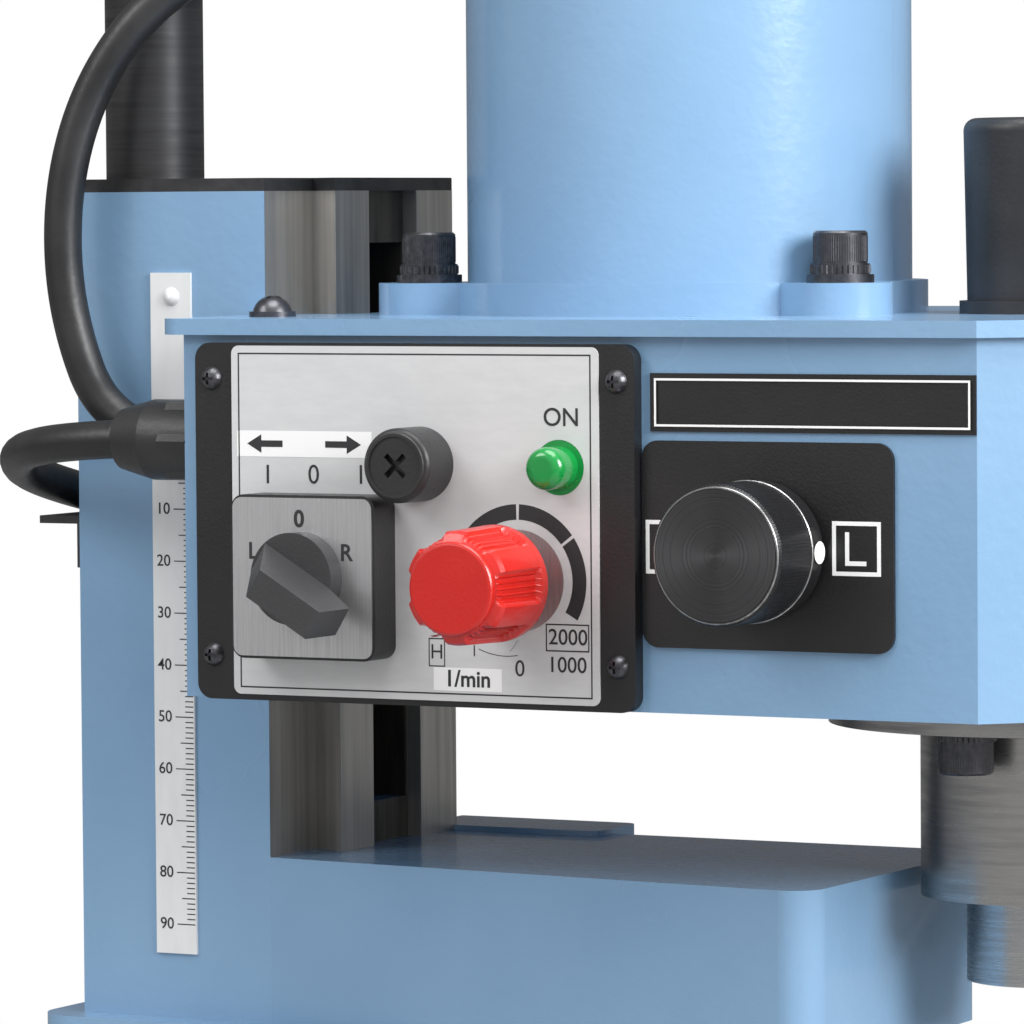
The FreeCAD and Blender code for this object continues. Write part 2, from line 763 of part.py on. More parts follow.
def make_top_plate():
    """Blue cover plate under the motor, bored for the motor shaft and the spindle."""
    plate = prism(head_outline(-plate_overhang, ledge_x - plate_wing), plate_z0, plate_z1)
    plate = plate.makeFillet(plate_corner, upright_edges(plate, lambda p: p.x < ledge_x))
    bay_half = column_half_width + plate_wing_clear
    plate = plate.cut(block(ledge_x - plate_wing - overrun, head_back, -bay_half, bay_half, plate_z0,
                            plate_z1))
    plate = plate.cut(prism(dovetail_outline(slide_gap, slide_gap, gib_thickness), plate_z0, plate_z1))
    plate = plate.cut(rod(motor_bearing_r + running_gap, plate_thickness, motor_x, 0, plate_z0))
    plate = plate.cut(rod(spindle_top_r + fit_gap, plate_thickness, spindle_x, 0, plate_z0))
    plate = drill(plate, m4_r + fit_gap, plate_thickness, plate_screw_places, -UP)
    return drill(plate, m6_r, plate_thickness, [(x, y, plate_z1) for x, y in motor_bolt_places], -UP)


spindle_top_r = spindle_r - 2
motor_bearing_r = 3 * motor_shaft_r
save("top_plate", make_top_plate())
washer_top = plate_z1 + dome_washer_height
plate_washers = [tube(dome_washer_r, m4_r + fit_gap, dome_washer_height, x, y, z)
                 for x, y, z in plate_screw_places]
save("top_plate_screws", *plate_washers,
     *[dome_screw(dome_r, dome_rise, m4_r - running_gap, plate_thickness + m8_head_height / 2,
                                      (x, y, washer_top), UP) for x, y, z in plate_screw_places])

flange_top = plate_z1 + motor_flange_thickness


def make_motor_can():
    """Motor body with its flange and three lugs."""
    flange = rod(motor_flange_r, motor_flange_thickness, motor_x, 0, plate_z1)
    for x, y in motor_bolt_places:
        flange = flange.fuse(rod(motor_lug_r, motor_flange_thickness, x, y, plate_z1))
        neck = block(motor_x, motor_x + motor_bolt_ring, -motor_lug_r, motor_lug_r, plate_z1, flange_top)
        angle = math.degrees(math.atan2(y, x - motor_x))
        flange = flange.fuse(turn_about(neck, angle, motor_x, 0, plate_z1))
    can = flange.fuse(rod(motor_r, motor_height - motor_flange_thickness, motor_x, 0, flange_top))
    can = can.cut(rod(motor_bearing_r, motor_height - motor_cap_height, motor_x, 0, plate_z1))
    can = drill(can, m6_r + fit_gap, motor_flange_thickness,
                [(x, y, flange_top) for x, y in motor_bolt_places], -UP)
    start = (motor_x - motor_r, 0, motor_lead_z)
    return drill(can, cord_r + fit_gap, motor_r / 3, [start], FRONT).removeSplitter()


motor_lead_z = deck_z + head_high + motor_height * 2 / 3
save("motor_can", make_motor_can())
motor_top = plate_z1 + motor_height
cap_body = rod(motor_r - motor_step, motor_cap_height, motor_x, 0, motor_top)
save("motor_cap", cap_body.makeFillet(motor_cap_height / 3, [cap_body.Edges[0]]))
motor_washers = [tube(r, m6_r + fit_gap, h, x, y, flange_top + lift)
                 for x, y in motor_bolt_places
                 for r, h,
                 lift in ((m6_washer_r, m6_washer_height, 0),
                          (m6_lock_r, m6_lock_height, m6_washer_height))]
bolt_seat = flange_top + m6_washer_height + m6_lock_height
save("motor_bolts", *motor_washers, *[socket_screw(m6_head_r, m6_head_height, m6_r - running_gap,
                                   bolt_seat - plate_z0, (x, y, bolt_seat), UP) for x,
                                      y in motor_bolt_places])

# Gear train: the pinion and idler lie a level above the spindle's gear
level_low = deck_z + gear_low
level_high = level_low + gear_thickness + gear_module
shaft_low = level_high
motor_shaft = rod(motor_shaft_r, motor_top - motor_cap_height * 2 - shaft_low, motor_x, 0, shaft_low).fuse(
    rod(motor_bearing_r - running_gap * 4, motor_height / 2, motor_x, 0, plate_z1 + motor_flange_thickness))
train_angle = math.degrees(math.atan2(idler_y, idler_x - motor_x))
back_angle = math.degrees(math.atan2(-idler_y, spindle_x - idler_x))


def place_gear(shape, x, y, z):
    copy = shape.copy()
    copy.translate(FreeCAD.Vector(x, y, z))
    return copy


save("motor_shaft", motor_shaft,
     place_gear(gear(motor_pinion_teeth, gear_module, gear_thickness, motor_shaft_r + running_gap,
                                     train_angle), motor_x, 0, level_high))


idler_low = housing_top - idler_seat_depth


def make_idler():
    """Idler cluster: the large gear meets the motor's pinion, the small one meets the spindle's gear."""
    half_tooth = 180.0 / idler_large_teeth
    bore = idler_shaft_r - running_gap
    large = gear(idler_large_teeth, gear_module, gear_thickness, bore, train_angle + 180.0 + half_tooth)
    small = gear(idler_small_teeth, gear_module, gear_thickness, bore, back_angle)
    hub_r = idler_small_teeth * gear_module / 2 - 1.2 * gear_module
    hub = tube(hub_r, bore, level_high - level_low, idler_x, idler_y, level_low)
    large = place_gear(large, idler_x, idler_y, level_high)
    shaft = rod(bore, plate_z0 - fit_gap - idler_low, idler_x, idler_y, idler_low)
    return place_gear(small, idler_x, idler_y, level_low).fuse(hub).fuse(large).fuse(shaft).removeSplitter()


save("idler_gears", make_idler())
half_tooth = 180.0 / spindle_gear_teeth
spindle_gear_body = gear(spindle_gear_teeth, gear_module, gear_thickness, spindle_top_r + running_gap,
                         back_angle + 180.0 + half_tooth)
save("spindle_gear", place_gear(spindle_gear_body, spindle_x, 0, level_low))

quill_z0, quill_z1 = deck_z + quill_low, deck_z + quill_high
rack_shares = (0.36, 0.17)
pitch_plane = feed_x + feed_pitch_r


def make_quill():
    """Quill with rack teeth along its back and a seat for a bearing at each end."""
    quill = rod(quill_r, quill_z1 - quill_z0, spindle_x, 0, quill_z0)
    quill = quill.cut(rod(spindle_r + 2 * fit_gap, quill_z1 - quill_z0, spindle_x, 0, quill_z0))
    for low in (quill_z0, quill_z1 - bearing_height):
        quill = quill.cut(rod(bearing_r, bearing_height, spindle_x, 0, low))
    tip_plane, root_plane = pitch_plane - 0.8 * feed_module, pitch_plane + 1.2 * feed_module
    rack_low = feed_height - feed_pitch_r
    flat = block(spindle_x - quill_r - overrun, tip_plane, -quill_r, quill_r, rack_low, quill_z1)
    quill = quill.cut(flat)
    pitch = math.pi * feed_module
    foot_share, root_share = rack_shares
    first = math.ceil((rack_low - feed_height) / pitch + foot_share)
    last = math.floor((quill_z1 - feed_height) / pitch + foot_share)
    for tooth in range(first, last + 1):
        middle = feed_height + tooth * pitch
        points = [FreeCAD.Vector(x, -quill_r, middle + share * pitch)
                  for x, share in ((tip_plane - overrun, -foot_share), (root_plane, -root_share),
                                   (root_plane, root_share), (tip_plane - overrun, foot_share))]
        quill = quill.cut(Part.Face(Part.makePolygon(points + points[:1])).extrude(AWAY * (2 * quill_r)))
    return quill


save("quill", make_quill())
save("quill_bearings",
     *[tube(bearing_r - running_gap, spindle_r + running_gap, bearing_height, spindle_x, 0, low)
                         for low in (quill_z0, quill_z1 - bearing_height)])


def make_spindle():
    """Spindle with its nose, its tapered socket and its slim top that slides through the gear."""
    nose_low = quill_z0 - spindle_nose_length
    top = plate_z1 + boot_height - boot_wall - drawbar_r - 2 * fit_gap
    spindle = rod(spindle_nose_r, spindle_nose_length - fit_gap, spindle_x, 0, nose_low)
    spindle = spindle.fuse(rod(spindle_r, quill_z1 - quill_z0 + spindle_nose_length, spindle_x, 0,
                               nose_low))
    spindle = spindle.fuse(rod(spindle_top_r, top - quill_z1, spindle_x, 0, quill_z1))
    spindle = spindle.cut(taper(taper_large_r, taper_small_r, taper_length, spindle_x, 0, nose_low))
    return spindle.cut(rod(drawbar_r + fit_gap, top - nose_low, spindle_x, 0,
                           nose_low)).removeSplitter(), top


drawbar_r = spindle_top_r / 2
boot_wall = boot_r / 6
spindle_body, spindle_top = make_spindle()
save("spindle", spindle_body)
bar_low = quill_z0 + taper_length / 2
drawbar = rod(drawbar_r, spindle_top - bar_low, spindle_x, 0, bar_low)
drawbar_head = [(spindle_x + spindle_top_r * math.cos(math.radians(60 * k)),
                 spindle_top_r * math.sin(math.radians(60 * k))) for k in range(6)]
save("drawbar", drawbar.fuse(prism(drawbar_head, spindle_top, spindle_top + drawbar_r)).removeSplitter())


def make_boot():
    """Black tapered cap over the spindle's top, hollow, with a flared foot."""
    wall = boot_wall
    foot = rod(boot_base_r, wall, spindle_x, 0, plate_z1)
    body = foot.fuse(taper(boot_low_r, boot_r, boot_height, spindle_x, 0, plate_z1))
    crown = [e for e in body.Edges if e.BoundBox.ZMin > plate_z1 + boot_height - wall]
    body = body.makeFillet(wall, crown)
    return body.cut(rod(boot_low_r - wall, boot_height - wall, spindle_x, 0, plate_z1)).removeSplitter()


save("spindle_cap", make_boot())
ring_z0 = head_z0 - ring_thickness
quill_ring = tube(ring_r, quill_r + fit_gap, ring_thickness, spindle_x, 0, ring_z0)
save("quill_ring",
     drill(quill_ring, m6_r + fit_gap, ring_thickness, [(x, y, head_z0) for x, y in ring_bolt_places], -UP))
ring_washers = [tube(m6_lock_r, m6_r + fit_gap, m6_washer_height, x, y, ring_z0 - m6_washer_height)
                for x, y in ring_bolt_places]
save("ring_bolts", *ring_washers,
     *[socket_screw(m6_head_r, m6_head_height, m6_r - running_gap, ring_thickness + head_wall,
                                  (x, y, ring_z0 - m6_washer_height), -UP) for x, y in ring_bolt_places])

# Quill feed: pinion shaft across the head, hub outside on the far side
hub_y = head_half_width + feed_hub_gap
feed_shaft = rod(feed_shaft_r, hub_y + feed_hub_length + feed_pinion_half + feed_shaft_r / 2, feed_x,
                 -feed_pinion_half - feed_shaft_r / 2, feed_height, AWAY)
feed_pinion = gear(feed_pinion_teeth, feed_module, 2 * feed_pinion_half, feed_shaft_r / 2, 0.0)
feed_pinion = aim(feed_pinion, AWAY)
feed_pinion.translate(FreeCAD.Vector(feed_x, -feed_pinion_half, feed_height))
save("feed_shaft", feed_shaft.fuse(feed_pinion).removeSplitter())
hub_middle = hub_y + feed_hub_length / 2
feed_angles = (60, 180, 300)


def make_feed_hub():
    """Turned hub with its three tapped seats for the spokes."""
    hub = rod(feed_hub_r, feed_hub_length, feed_x, hub_y, feed_height, AWAY)
    rims = [e for e in hub.Edges if abs(e.BoundBox.YMax - e.BoundBox.YMin) < 1e-6]
    hub = hub.makeChamfer(feed_hub_r / 12, rims)
    hub = hub.cut(rod(feed_shaft_r + running_gap, feed_hub_length, feed_x, hub_y, feed_height, AWAY))
    for angle in feed_angles:
        seat = rod(feed_spoke_r, feed_hub_r, feed_x + feed_hub_r / 2, hub_middle, feed_height, FRONT)
        hub = hub.cut(turn_about(seat, angle, feed_x, hub_middle, feed_height, AWAY))
    return hub


save("feed_hub", make_feed_hub())
spoke = rod(feed_spoke_r - running_gap, feed_spoke_length - feed_hub_r / 2, feed_x + feed_hub_r / 2,
            hub_middle,
            feed_height, FRONT)
save("feed_spokes", *[turn_about(spoke, a, feed_x, hub_middle, feed_height, AWAY) for a in feed_angles])
grip_ball = Part.makeCone(feed_grip_r * 0.7, feed_grip_r, feed_grip_length).fuse(
    Part.makeSphere(feed_grip_r, FreeCAD.Vector(0, 0, feed_grip_length)))
grip_ball = aim(grip_ball, FRONT).removeSplitter()
grip_start = feed_x + feed_spoke_length - feed_grip_length * 0.8
grip_ball.translate(FreeCAD.Vector(grip_start, hub_middle, feed_height))
grip_ball = grip_ball.cut(spoke)
save("feed_grips", *[turn_about(grip_ball, a, feed_x, hub_middle, feed_height, AWAY) for a in feed_angles])


def panel_point(x, z):
    return ledge_x + x, deck_z + z


panel_face = panel_y - panel_thickness


def make_panel():
    """Black panel plate that carries the switch, fuse, lamp and speed control."""
    plate = rounded_plate(ledge_x + panel_back, ledge_x + panel_front, deck_z + panel_low,
                          deck_z + panel_high,
                          panel_y, panel_thickness, panel_corner)
    plate = drill(plate, cap_screw_r + fit_gap, panel_thickness,
                  [(x, panel_face, z) for x, z in panel_screw_places],
                  AWAY)
    places = [(ledge_x + x, panel_face, deck_z + z) for x, z in panel_devices]
    return drill(plate, device_r, panel_thickness, places, AWAY)


save("control_panel", make_panel())
sheet = rounded_plate(ledge_x + sheet_back, ledge_x + sheet_front, deck_z + sheet_low, deck_z + sheet_high,
                      panel_face, sheet_thickness, panel_corner / 2)
sheet_face = panel_face - sheet_thickness
save("panel_sheet", drill(sheet, device_r, sheet_thickness,
                          [(ledge_x + x, sheet_face, deck_z + z) for x, z in panel_devices], AWAY))
save("panel_screws", *[dome_screw(panel_screw_r, panel_screw_rise, cap_screw_r - running_gap,
                                  panel_thickness + head_wall / 3, (x, panel_face, z), NEAR)
                       for x, z in panel_screw_places])


def make_switch_body():
    """Square switch bezel with its round body behind the panel."""
    x, z = panel_point(switch_x, switch_z)
    half = switch_side / 2
    bezel = rounded_plate(x - half, x + half, z - half, z + half, sheet_face, switch_thickness,
                          switch_thickness / 3)
    body = rod(device_r - running_gap, device_depth, x, sheet_face, z, AWAY)
    bezel = bezel.fuse(body)
    return bezel.cut(rod(switch_shaft_r + running_gap, device_depth / 2 + switch_thickness, x,
                         sheet_face - switch_thickness, z, AWAY)).removeSplitter()


switch_shaft_r = device_r / 2
save("switch_body", make_switch_body())


def make_switch_knob():
    """Round base with a handle that slopes up from its heel and overhangs it in front, on its shaft."""
    x, z = panel_point(switch_x, switch_z)
    face = sheet_face - switch_thickness - running_gap
    knob = rod(switch_knob_r, switch_knob_base, x, face, z, NEAR)
    side = [(-switch_handle_heel, switch_knob_base / 2), (-switch_handle_heel, switch_knob_base),
            (0, switch_handle_rise), (switch_handle_reach, switch_handle_rise),
            (switch_handle_reach, switch_handle_lip), (switch_handle_heel, switch_knob_base),
            (switch_handle_heel, switch_knob_base / 2)]
    points = [FreeCAD.Vector(x + along, face - out, z - switch_handle_half) for along, out in side]
    handle = Part.Face(Part.makePolygon(points + points[:1])).extrude(UP * (2 * switch_handle_half))
    knob = knob.fuse(turn_about(handle, switch_rest_angle, x, face, z, NEAR))
    return knob.fuse(rod(switch_shaft_r, device_depth / 2, x, face, z, AWAY)).removeSplitter()


save("switch_knob", make_switch_knob())


def make_fuse():
    """Fuse holder body behind the panel, with its screw cap in front."""
    x, z = panel_point(fuse_x, fuse_z)
    return rod(device_r - running_gap, device_depth * 2, x, sheet_face, z, AWAY)


fuse_place = panel_point(fuse_x, fuse_z)
fuse_cap = rod(fuse_r, fuse_rise, fuse_place[0], sheet_face, fuse_place[1], NEAR)
fuse_cap = fuse_cap.makeFillet(fuse_r / 6,
                               [e for e in fuse_cap.Edges if e.BoundBox.YMax < sheet_face - fuse_rise / 2])
for turn in (0, 90):
    cross = block(fuse_place[0] - fuse_slot_half, fuse_place[0] + fuse_slot_half,
                  sheet_face - fuse_rise - overrun, sheet_face - fuse_rise + fuse_slot_depth,
                  fuse_place[1] - fuse_slot_width / 2, fuse_place[1] + fuse_slot_width / 2)
    fuse_cap = fuse_cap.cut(turn_about(cross, turn + fuse_slot_turn, fuse_place[0], 0, fuse_place[1], NEAR))
save("fuse_holder", make_fuse(), fuse_cap)
lamp_place = panel_point(lamp_x, lamp_z)
lamp = rod(lamp_r, lamp_rise, lamp_place[0], sheet_face, lamp_place[1], NEAR)
lamp = lamp.makeFillet(lamp_r / 2, [e for e in lamp.Edges if e.BoundBox.YMax < sheet_face - lamp_rise / 2])
lamp_holder = rod(device_r - running_gap, device_depth / 2, lamp_place[0], sheet_face, lamp_place[1], AWAY)
save("lamp_lens", lamp.fuse(lamp_holder).removeSplitter())


def make_speed_knob():
    """Fluted knob with a slim front disc, on its shaft."""
    x, z = panel_point(speed_x, speed_z)
    start, end = sheet_face - speed_knob_gap, sheet_face - speed_knob_rise
    knob = rod(speed_knob_r, start - end, x, start, z, NEAR)
    for k in range(speed_flutes):
        angle = 2 * math.pi * k / speed_flutes
        flute = rod(speed_knob_r / 12, start - end, x + speed_knob_r * math.cos(angle), start,
                    z + speed_knob_r * math.sin(angle), NEAR)
        knob = knob.cut(flute)
    knob = knob.fuse(rod(speed_disc_r, running_gap * 4, x, end, z, NEAR))
    return knob.fuse(rod(speed_shaft_r, speed_knob_gap + device_depth / 2, x, start, z,
                         AWAY)).removeSplitter()


save("speed_knob", make_speed_knob())
speed_place = panel_point(speed_x, speed_z)
save("speed_control",
     tube(device_r - running_gap, speed_shaft_r + running_gap, device_depth + speed_knob_gap / 3,
                           speed_place[0], sheet_face - speed_knob_gap / 3, speed_place[1], AWAY))

selector_y = panel_y
selector_plate_back = ledge_x + panel_front + fit_gap
selector_plate = rounded_plate(selector_plate_back, ledge_x + selector_plate_front, deck_z + selector_low,
                               deck_z + selector_high, selector_y, thin_plate, thin_plate * 4)
selector_plate = drill(selector_plate, selector_shaft_r + fit_gap, thin_plate,
                             [(selector_shaft_x, selector_y - thin_plate, selector_shaft_z)], AWAY)


def make_selector_knob():
    """Knurled selector knob with its collar and the shaft that shifts the gears."""
    face = selector_y - thin_plate - running_gap
    x, z = selector_shaft_x, selector_shaft_z
    knob = rod(selector_collar_r, selector_collar_rise, x, face, z, NEAR)
    body = rod(selector_knob_r, selector_knob_rise - selector_collar_rise, x, face - selector_collar_rise,
               z, NEAR)
    rims = [e for e in body.Edges if abs(e.BoundBox.YMax - e.BoundBox.YMin) < 1e-6]
    knob = knob.fuse(body.makeChamfer(selector_knob_r / 16, rims))
    return knob.fuse(rod(selector_shaft_r, head_wall * 2, x, face, z, AWAY)).removeSplitter()


save("selector_knob", make_selector_knob())
label_front = head_corner
label = block(ledge_x + label_back, label_front, panel_y - thin_plate / 2, panel_y,
              deck_z + label_low, deck_z + label_high)
save("selector_plate", selector_plate, label)


def make_gland(radius, bore, y, z):
    """Domed cable gland that stands out of the head's back, with a hexagon next to the casting."""
    x = head_back
    hex_length, neck = gland_reach * 0.35, gland_reach * 0.62
    corners = [FreeCAD.Vector(x, y + radius * math.cos(math.radians(60 * k)),
                              z + radius * math.sin(math.radians(60 * k)))
               for k in range(6)]
    body = Part.Face(Part.makePolygon(corners + corners[:1])).extrude(FRONT * -hex_length)
    body = body.fuse(rod(radius * gland_body_share, neck, x, y, z, FRONT * -1))
    body = body.fuse(taper(radius * gland_body_share, radius * gland_nose_share, gland_reach - neck,
                           x - neck, y, z, FRONT * -1))
    return body.cut(rod(bore, gland_reach, x, y, z, FRONT * -1)).removeSplitter()


save("cable_glands", make_gland(gland_r, cord_r + running_gap, gland_y, deck_z + gland_z),
     make_gland(lead_gland_r, cord_r + running_gap, lead_gland_y, deck_z + gland_z))


def cord_tube(name, route):
    """Round tube on straight runs joined by arcs as large as the runs beside them allow."""
    points = [FreeCAD.Vector(*p) for p in route]
    edges, start, radii = [], points[0], []
    for before, corner, after in zip(points, points[1:], points[2:]):
        back, ahead = before - corner, after - corner
        turn = math.pi - back.getAngle(ahead)
        reach = 0.45 * min(back.Length, ahead.Length)
        radii.append(reach / math.tan(turn / 2))
        back, ahead = back.normalize(), ahead.normalize()
        arc_start, arc_end = corner + back * reach, corner + ahead * reach
        middle = (back + ahead).normalize()
        depth = math.hypot(reach, radii[-1]) - radii[-1]
        edges.append(Part.LineSegment(start, arc_start).toShape())
        edges.append(Part.Arc(arc_start, corner + middle * depth, arc_end).toShape())
        start = arc_end
    edges.append(Part.LineSegment(start, points[-1]).toShape())
    wire = Part.Wire(edges)
    section = Part.Wire(Part.Circle(points[0], points[1] - points[0], cord_r).toShape())
    shape = wire.makePipeShell([section], True, False)
    share = shape.Volume / (math.pi * cord_r ** 2 * wire.Length)
    print(name, "length", round(wire.Length, 1), "volume share", round(share, 4), "radii",
          [round(r) for r in radii])
    return shape


# Cord routes, in millimetres from the machine's origin
motor_lead_route = [(-87.7, -44.8, 305.6), (-101.0, -45.0, 307.5), (-109.0, -46.5, 329.0),
                    (-109.5, -47.0, 352.0),
                    (-104.0, -44.5, 373.0), (-91.0, -41.0, 390.0), (-73.0, -26.0, 401.5),
                    (-56.0, -7.0, 402.0),
                    (-40.0, 0.0, 400.2)]
mains_loop_route = [(-87.7, -60.0, 305.6), (-103.0, -60.0, 305.0), (-118.0, -52.0, 302.0),
                    (-124.0, -36.0, 297.0),
                    (-121.5, -20.0, 293.4)]
mains_drop_route = [(-121.5, -20.0, 293.4), (-119.5, -7.0, 290.5), (-124.0, 5.0, 276.0),
                    (-129.0, 12.0, 248.0),
                    (-130.0, 15.0, 196.0), (-131.0, 14.0, 130.0), (-137.0, 13.0, 76.0),
                    (-141.0, 16.0, 34.0),
                    (-152.0, 23.0, 8.0), (-172.0, 29.0, 3.7), (-190.0, 30.0, 3.7)]
mains_tail_route = [(-230.0, -10.0, 3.7), (-230.5, -30.0, 5.5), (-229.5, -48.0, 14.5),
                    (-230.0, -66.0, 18.0)]
motor_lead_route[-1] = (motor_x - motor_r + overrun, 0.0, motor_lead_z)
save("motor_lead", cord_tube("motor_lead", motor_lead_route))
mains_loop = cord_tube("mains_lead_loop", mains_loop_route)
mains_tail = cord_tube("mains_lead_tail", mains_tail_route)
save("mains_lead_loop", mains_loop)
save("mains_lead_drop", cord_tube("mains_lead_drop", mains_drop_route).cut(mains_loop), mains_tail)
save("mains_lead_coil", tube(coil_r + 2 * cord_r, coil_r - 2 * cord_r, 4 * cord_r, coil_x, coil_y, 0))


def make_plug():
    """Moulded plug body that lies on its side round the lead's end, with two round pins."""
    x, y, z = mains_tail_route[-1]
    body = taper(plug_r * 0.5, plug_r * 0.95, plug_length * 0.5, x, y, z, NEAR)
    body = body.fuse(rod(plug_r, plug_length * 0.5, x, y - plug_length * 0.5, z, NEAR))
    for side in (-1, 1):
        pin = rod(plug_pin_r, plug_pin_length + overrun, x + side * plug_pin_half,
                  y - plug_length + overrun, z, NEAR)
        body = body.fuse(pin)
    return body.cut(mains_tail).removeSplitter()


save("mains_plug", make_plug())
clip_top = mains_loop_route[-1][2] - cord_r - fit_gap
clip = block(ledge_x - column_back - clip_width, ledge_x - column_back, clip_thickness - column_half_width,
             -2 * clip_width, clip_top - clip_thickness, clip_top)
clip = clip.fuse(block(ledge_x - column_back - clip_thickness, ledge_x - column_back,
                       clip_thickness - column_half_width, -2 * clip_width, clip_top - clip_width,
                       clip_top))
save("lead_clip", clip.removeSplitter())


def dovetail_way(half, low, high, undercut, grow=0.0, far_grow=0.0):
    """Section of a dovetail way as pairs of offset and height."""
    return [(half - undercut + grow + far_grow, low), (half + grow + far_grow, high + grow),
            (-half - grow, high + grow), (undercut - half - grow, low)]


def along_x(section, x0, x1):
    points = [FreeCAD.Vector(x0, y, z) for y, z in section]
    return Part.Face(Part.makePolygon(points + points[:1])).extrude(FRONT * (x1 - x0))


def along_y(section, x, y0, y1):
    points = [FreeCAD.Vector(x - offset, y0, z) for offset, z in section]
    return Part.Face(Part.makePolygon(points + points[:1])).extrude(AWAY * (y1 - y0))


saddle_x0, saddle_x1 = spindle_x - saddle_length / 2, spindle_x + saddle_length / 2
saddle_half = saddle_width / 2
cross_screw_z = cross_way_top - feed_screw_r - screw_cover
cross_groove_low = cross_way_top - screw_groove_depth


def make_saddle():
    """Saddle that rides the base's way and carries the table's way across its top."""
    saddle = block(saddle_x0, saddle_x1, -saddle_half, saddle_half, base_height + fit_gap, saddle_top)
    section = dovetail_way(way_half_width, base_height, way_top, way_undercut, slide_gap, gib_thickness)
    saddle = saddle.cut(along_x(section, saddle_x0, saddle_x1))
    cross = along_y(dovetail_way(cross_way_half, saddle_top, cross_way_top, way_undercut), spindle_x,
                    -saddle_half, saddle_half)
    saddle = saddle.fuse(cross)
    groove = block(spindle_x - screw_groove_half, spindle_x + screw_groove_half, -saddle_half, saddle_half,
                   cross_groove_low, cross_way_top)
    return saddle.cut(groove).removeSplitter()


def gib_section(half, low, high, undercut):
    """Section of a gib that follows the slope of its dovetail's flank."""
    foot = half - undercut + undercut * fit_gap / (high - low)
    return [(foot + slide_gap, low + fit_gap), (half + slide_gap, high),
            (half + gib_thickness, high), (foot + gib_thickness, low + fit_gap)]


save("saddle", make_saddle())
save("saddle_gib",
     along_x(gib_section(way_half_width, base_height, way_top, way_undercut), saddle_x0, saddle_x1))
saddle_nut = block(spindle_x - nut_half_length, spindle_x + nut_half_length, fit_gap - screw_groove_half,
                   screw_groove_half - fit_gap, way_top - screw_groove_depth + fit_gap, way_top + slide_gap)
saddle_nut = saddle_nut.cut(rod(feed_screw_r + running_gap, 2 * nut_half_length,
                                spindle_x - nut_half_length,
                                0, feed_screw_z, FRONT))
table_half, table_half_x = table_length / 2, table_depth / 2


def make_table():
    """Table with its tee slots on top and the female dovetail below."""
    table = block(spindle_x - table_half_x, spindle_x + table_half_x, -table_half, table_half,
                  saddle_top + fit_gap, table_top)
    section = dovetail_way(cross_way_half, saddle_top, cross_way_top, way_undercut, slide_gap,
                           gib_thickness)
    table = table.cut(along_y(section, spindle_x, -table_half, table_half))
    table = table.cut(block(spindle_x - screw_groove_half, spindle_x + screw_groove_half, -table_half,
                            table_half,
                            saddle_top, cross_way_top + slide_gap))
    for offset in (-slot_pitch, 0, slot_pitch):
        x = spindle_x + offset
        table = table.cut(block(x - slot_width / 2, x + slot_width / 2, -table_half, table_half,
                                table_top - slot_depth, table_top))
        table = table.cut(block(x - slot_foot_width / 2, x + slot_foot_width / 2, -table_half, table_half,
                                table_top - slot_depth, table_top - slot_depth + slot_foot_height))
    return table.removeSplitter()


save("table", make_table())
save("table_gib", along_y(gib_section(cross_way_half, saddle_top, cross_way_top, way_undercut), spindle_x,
                          -saddle_half, saddle_half))
table_nut = block(spindle_x + fit_gap - screw_groove_half, spindle_x + screw_groove_half - fit_gap,
                  -nut_half_length, nut_half_length, cross_groove_low, cross_way_top - fit_gap)
save("feed_nuts", saddle_nut,
     table_nut.cut(rod(feed_screw_r + running_gap, 2 * nut_half_length, spindle_x, -nut_half_length,
                                    cross_screw_z, AWAY)))


def make_bracket(bore_z, low, high):
    """End bracket for a feed screw, built on +Z at the origin with its bolt face down."""
    plate = rounded_block(-bracket_half_width, bracket_half_width, low - bore_z, high - bore_z, 0,
                          bracket_thickness,
                          fit_gap * 5)
    return plate.cut(rod(feed_screw_r + running_gap, bracket_thickness, 0, 0, 0))


def place_on_screw(shape, x, y, z, along):
    """Carry a shape built on +Z to a screw's line, with its own Y turned upright."""
    side = AWAY if abs(along.x) > 0 else FRONT
    rows = FreeCAD.Matrix(side.x, 0, along.x, x, side.y, 0, along.y, y, 0, 1, 0, z, 0, 0, 0, 1)
    if FreeCAD.Vector(side).cross(UP).dot(along) < 0:
        rows = FreeCAD.Matrix(-side.x, 0, along.x, x, -side.y, 0, along.y, y, 0, 1, 0, z, 0, 0, 0, 1)
    copy = shape.copy()
    copy.Placement = FreeCAD.Placement(rows).multiply(copy.Placement)
    return copy


def save_feed(prefix, x, y, z, along):
    """Dial, handwheel and crank at the outer end of a feed screw."""
    dial = tube(dial_r, feed_screw_r, dial_length, 0, 0, 0)
    wheel = Part.makeTorus(wheel_r - wheel_rim, wheel_rim, FreeCAD.Vector(0, 0, wheel_thickness / 2))
    wheel = wheel.fuse(rod(wheel_hub_r, wheel_thickness, 0, 0, 0))
    web_low = wheel_thickness / 2 - wheel_rim / 4
    wheel = wheel.fuse(rod(wheel_r - wheel_rim, wheel_rim / 2, 0, 0, web_low))
    wheel = wheel.cut(rod(feed_screw_r, wheel_thickness, 0, 0, 0))
    wheel = wheel.cut(rod(lift_pin_r + running_gap, wheel_thickness + 2 * wheel_rim, 0, wheel_r - wheel_rim,
                          0))
    wheel.translate(UP * (dial_length + running_gap))
    crank_z = dial_length + running_gap + wheel_thickness / 2 + wheel_rim + running_gap
    crank = make_grip(crank_r, crank_length, lift_pin_r, wheel_rim, 0, wheel_r - wheel_rim, crank_z)
    save(prefix + "_handwheel", *[place_on_screw(shape, x, y, z, along)
                                  for shape in (dial, wheel.removeSplitter(), crank)])


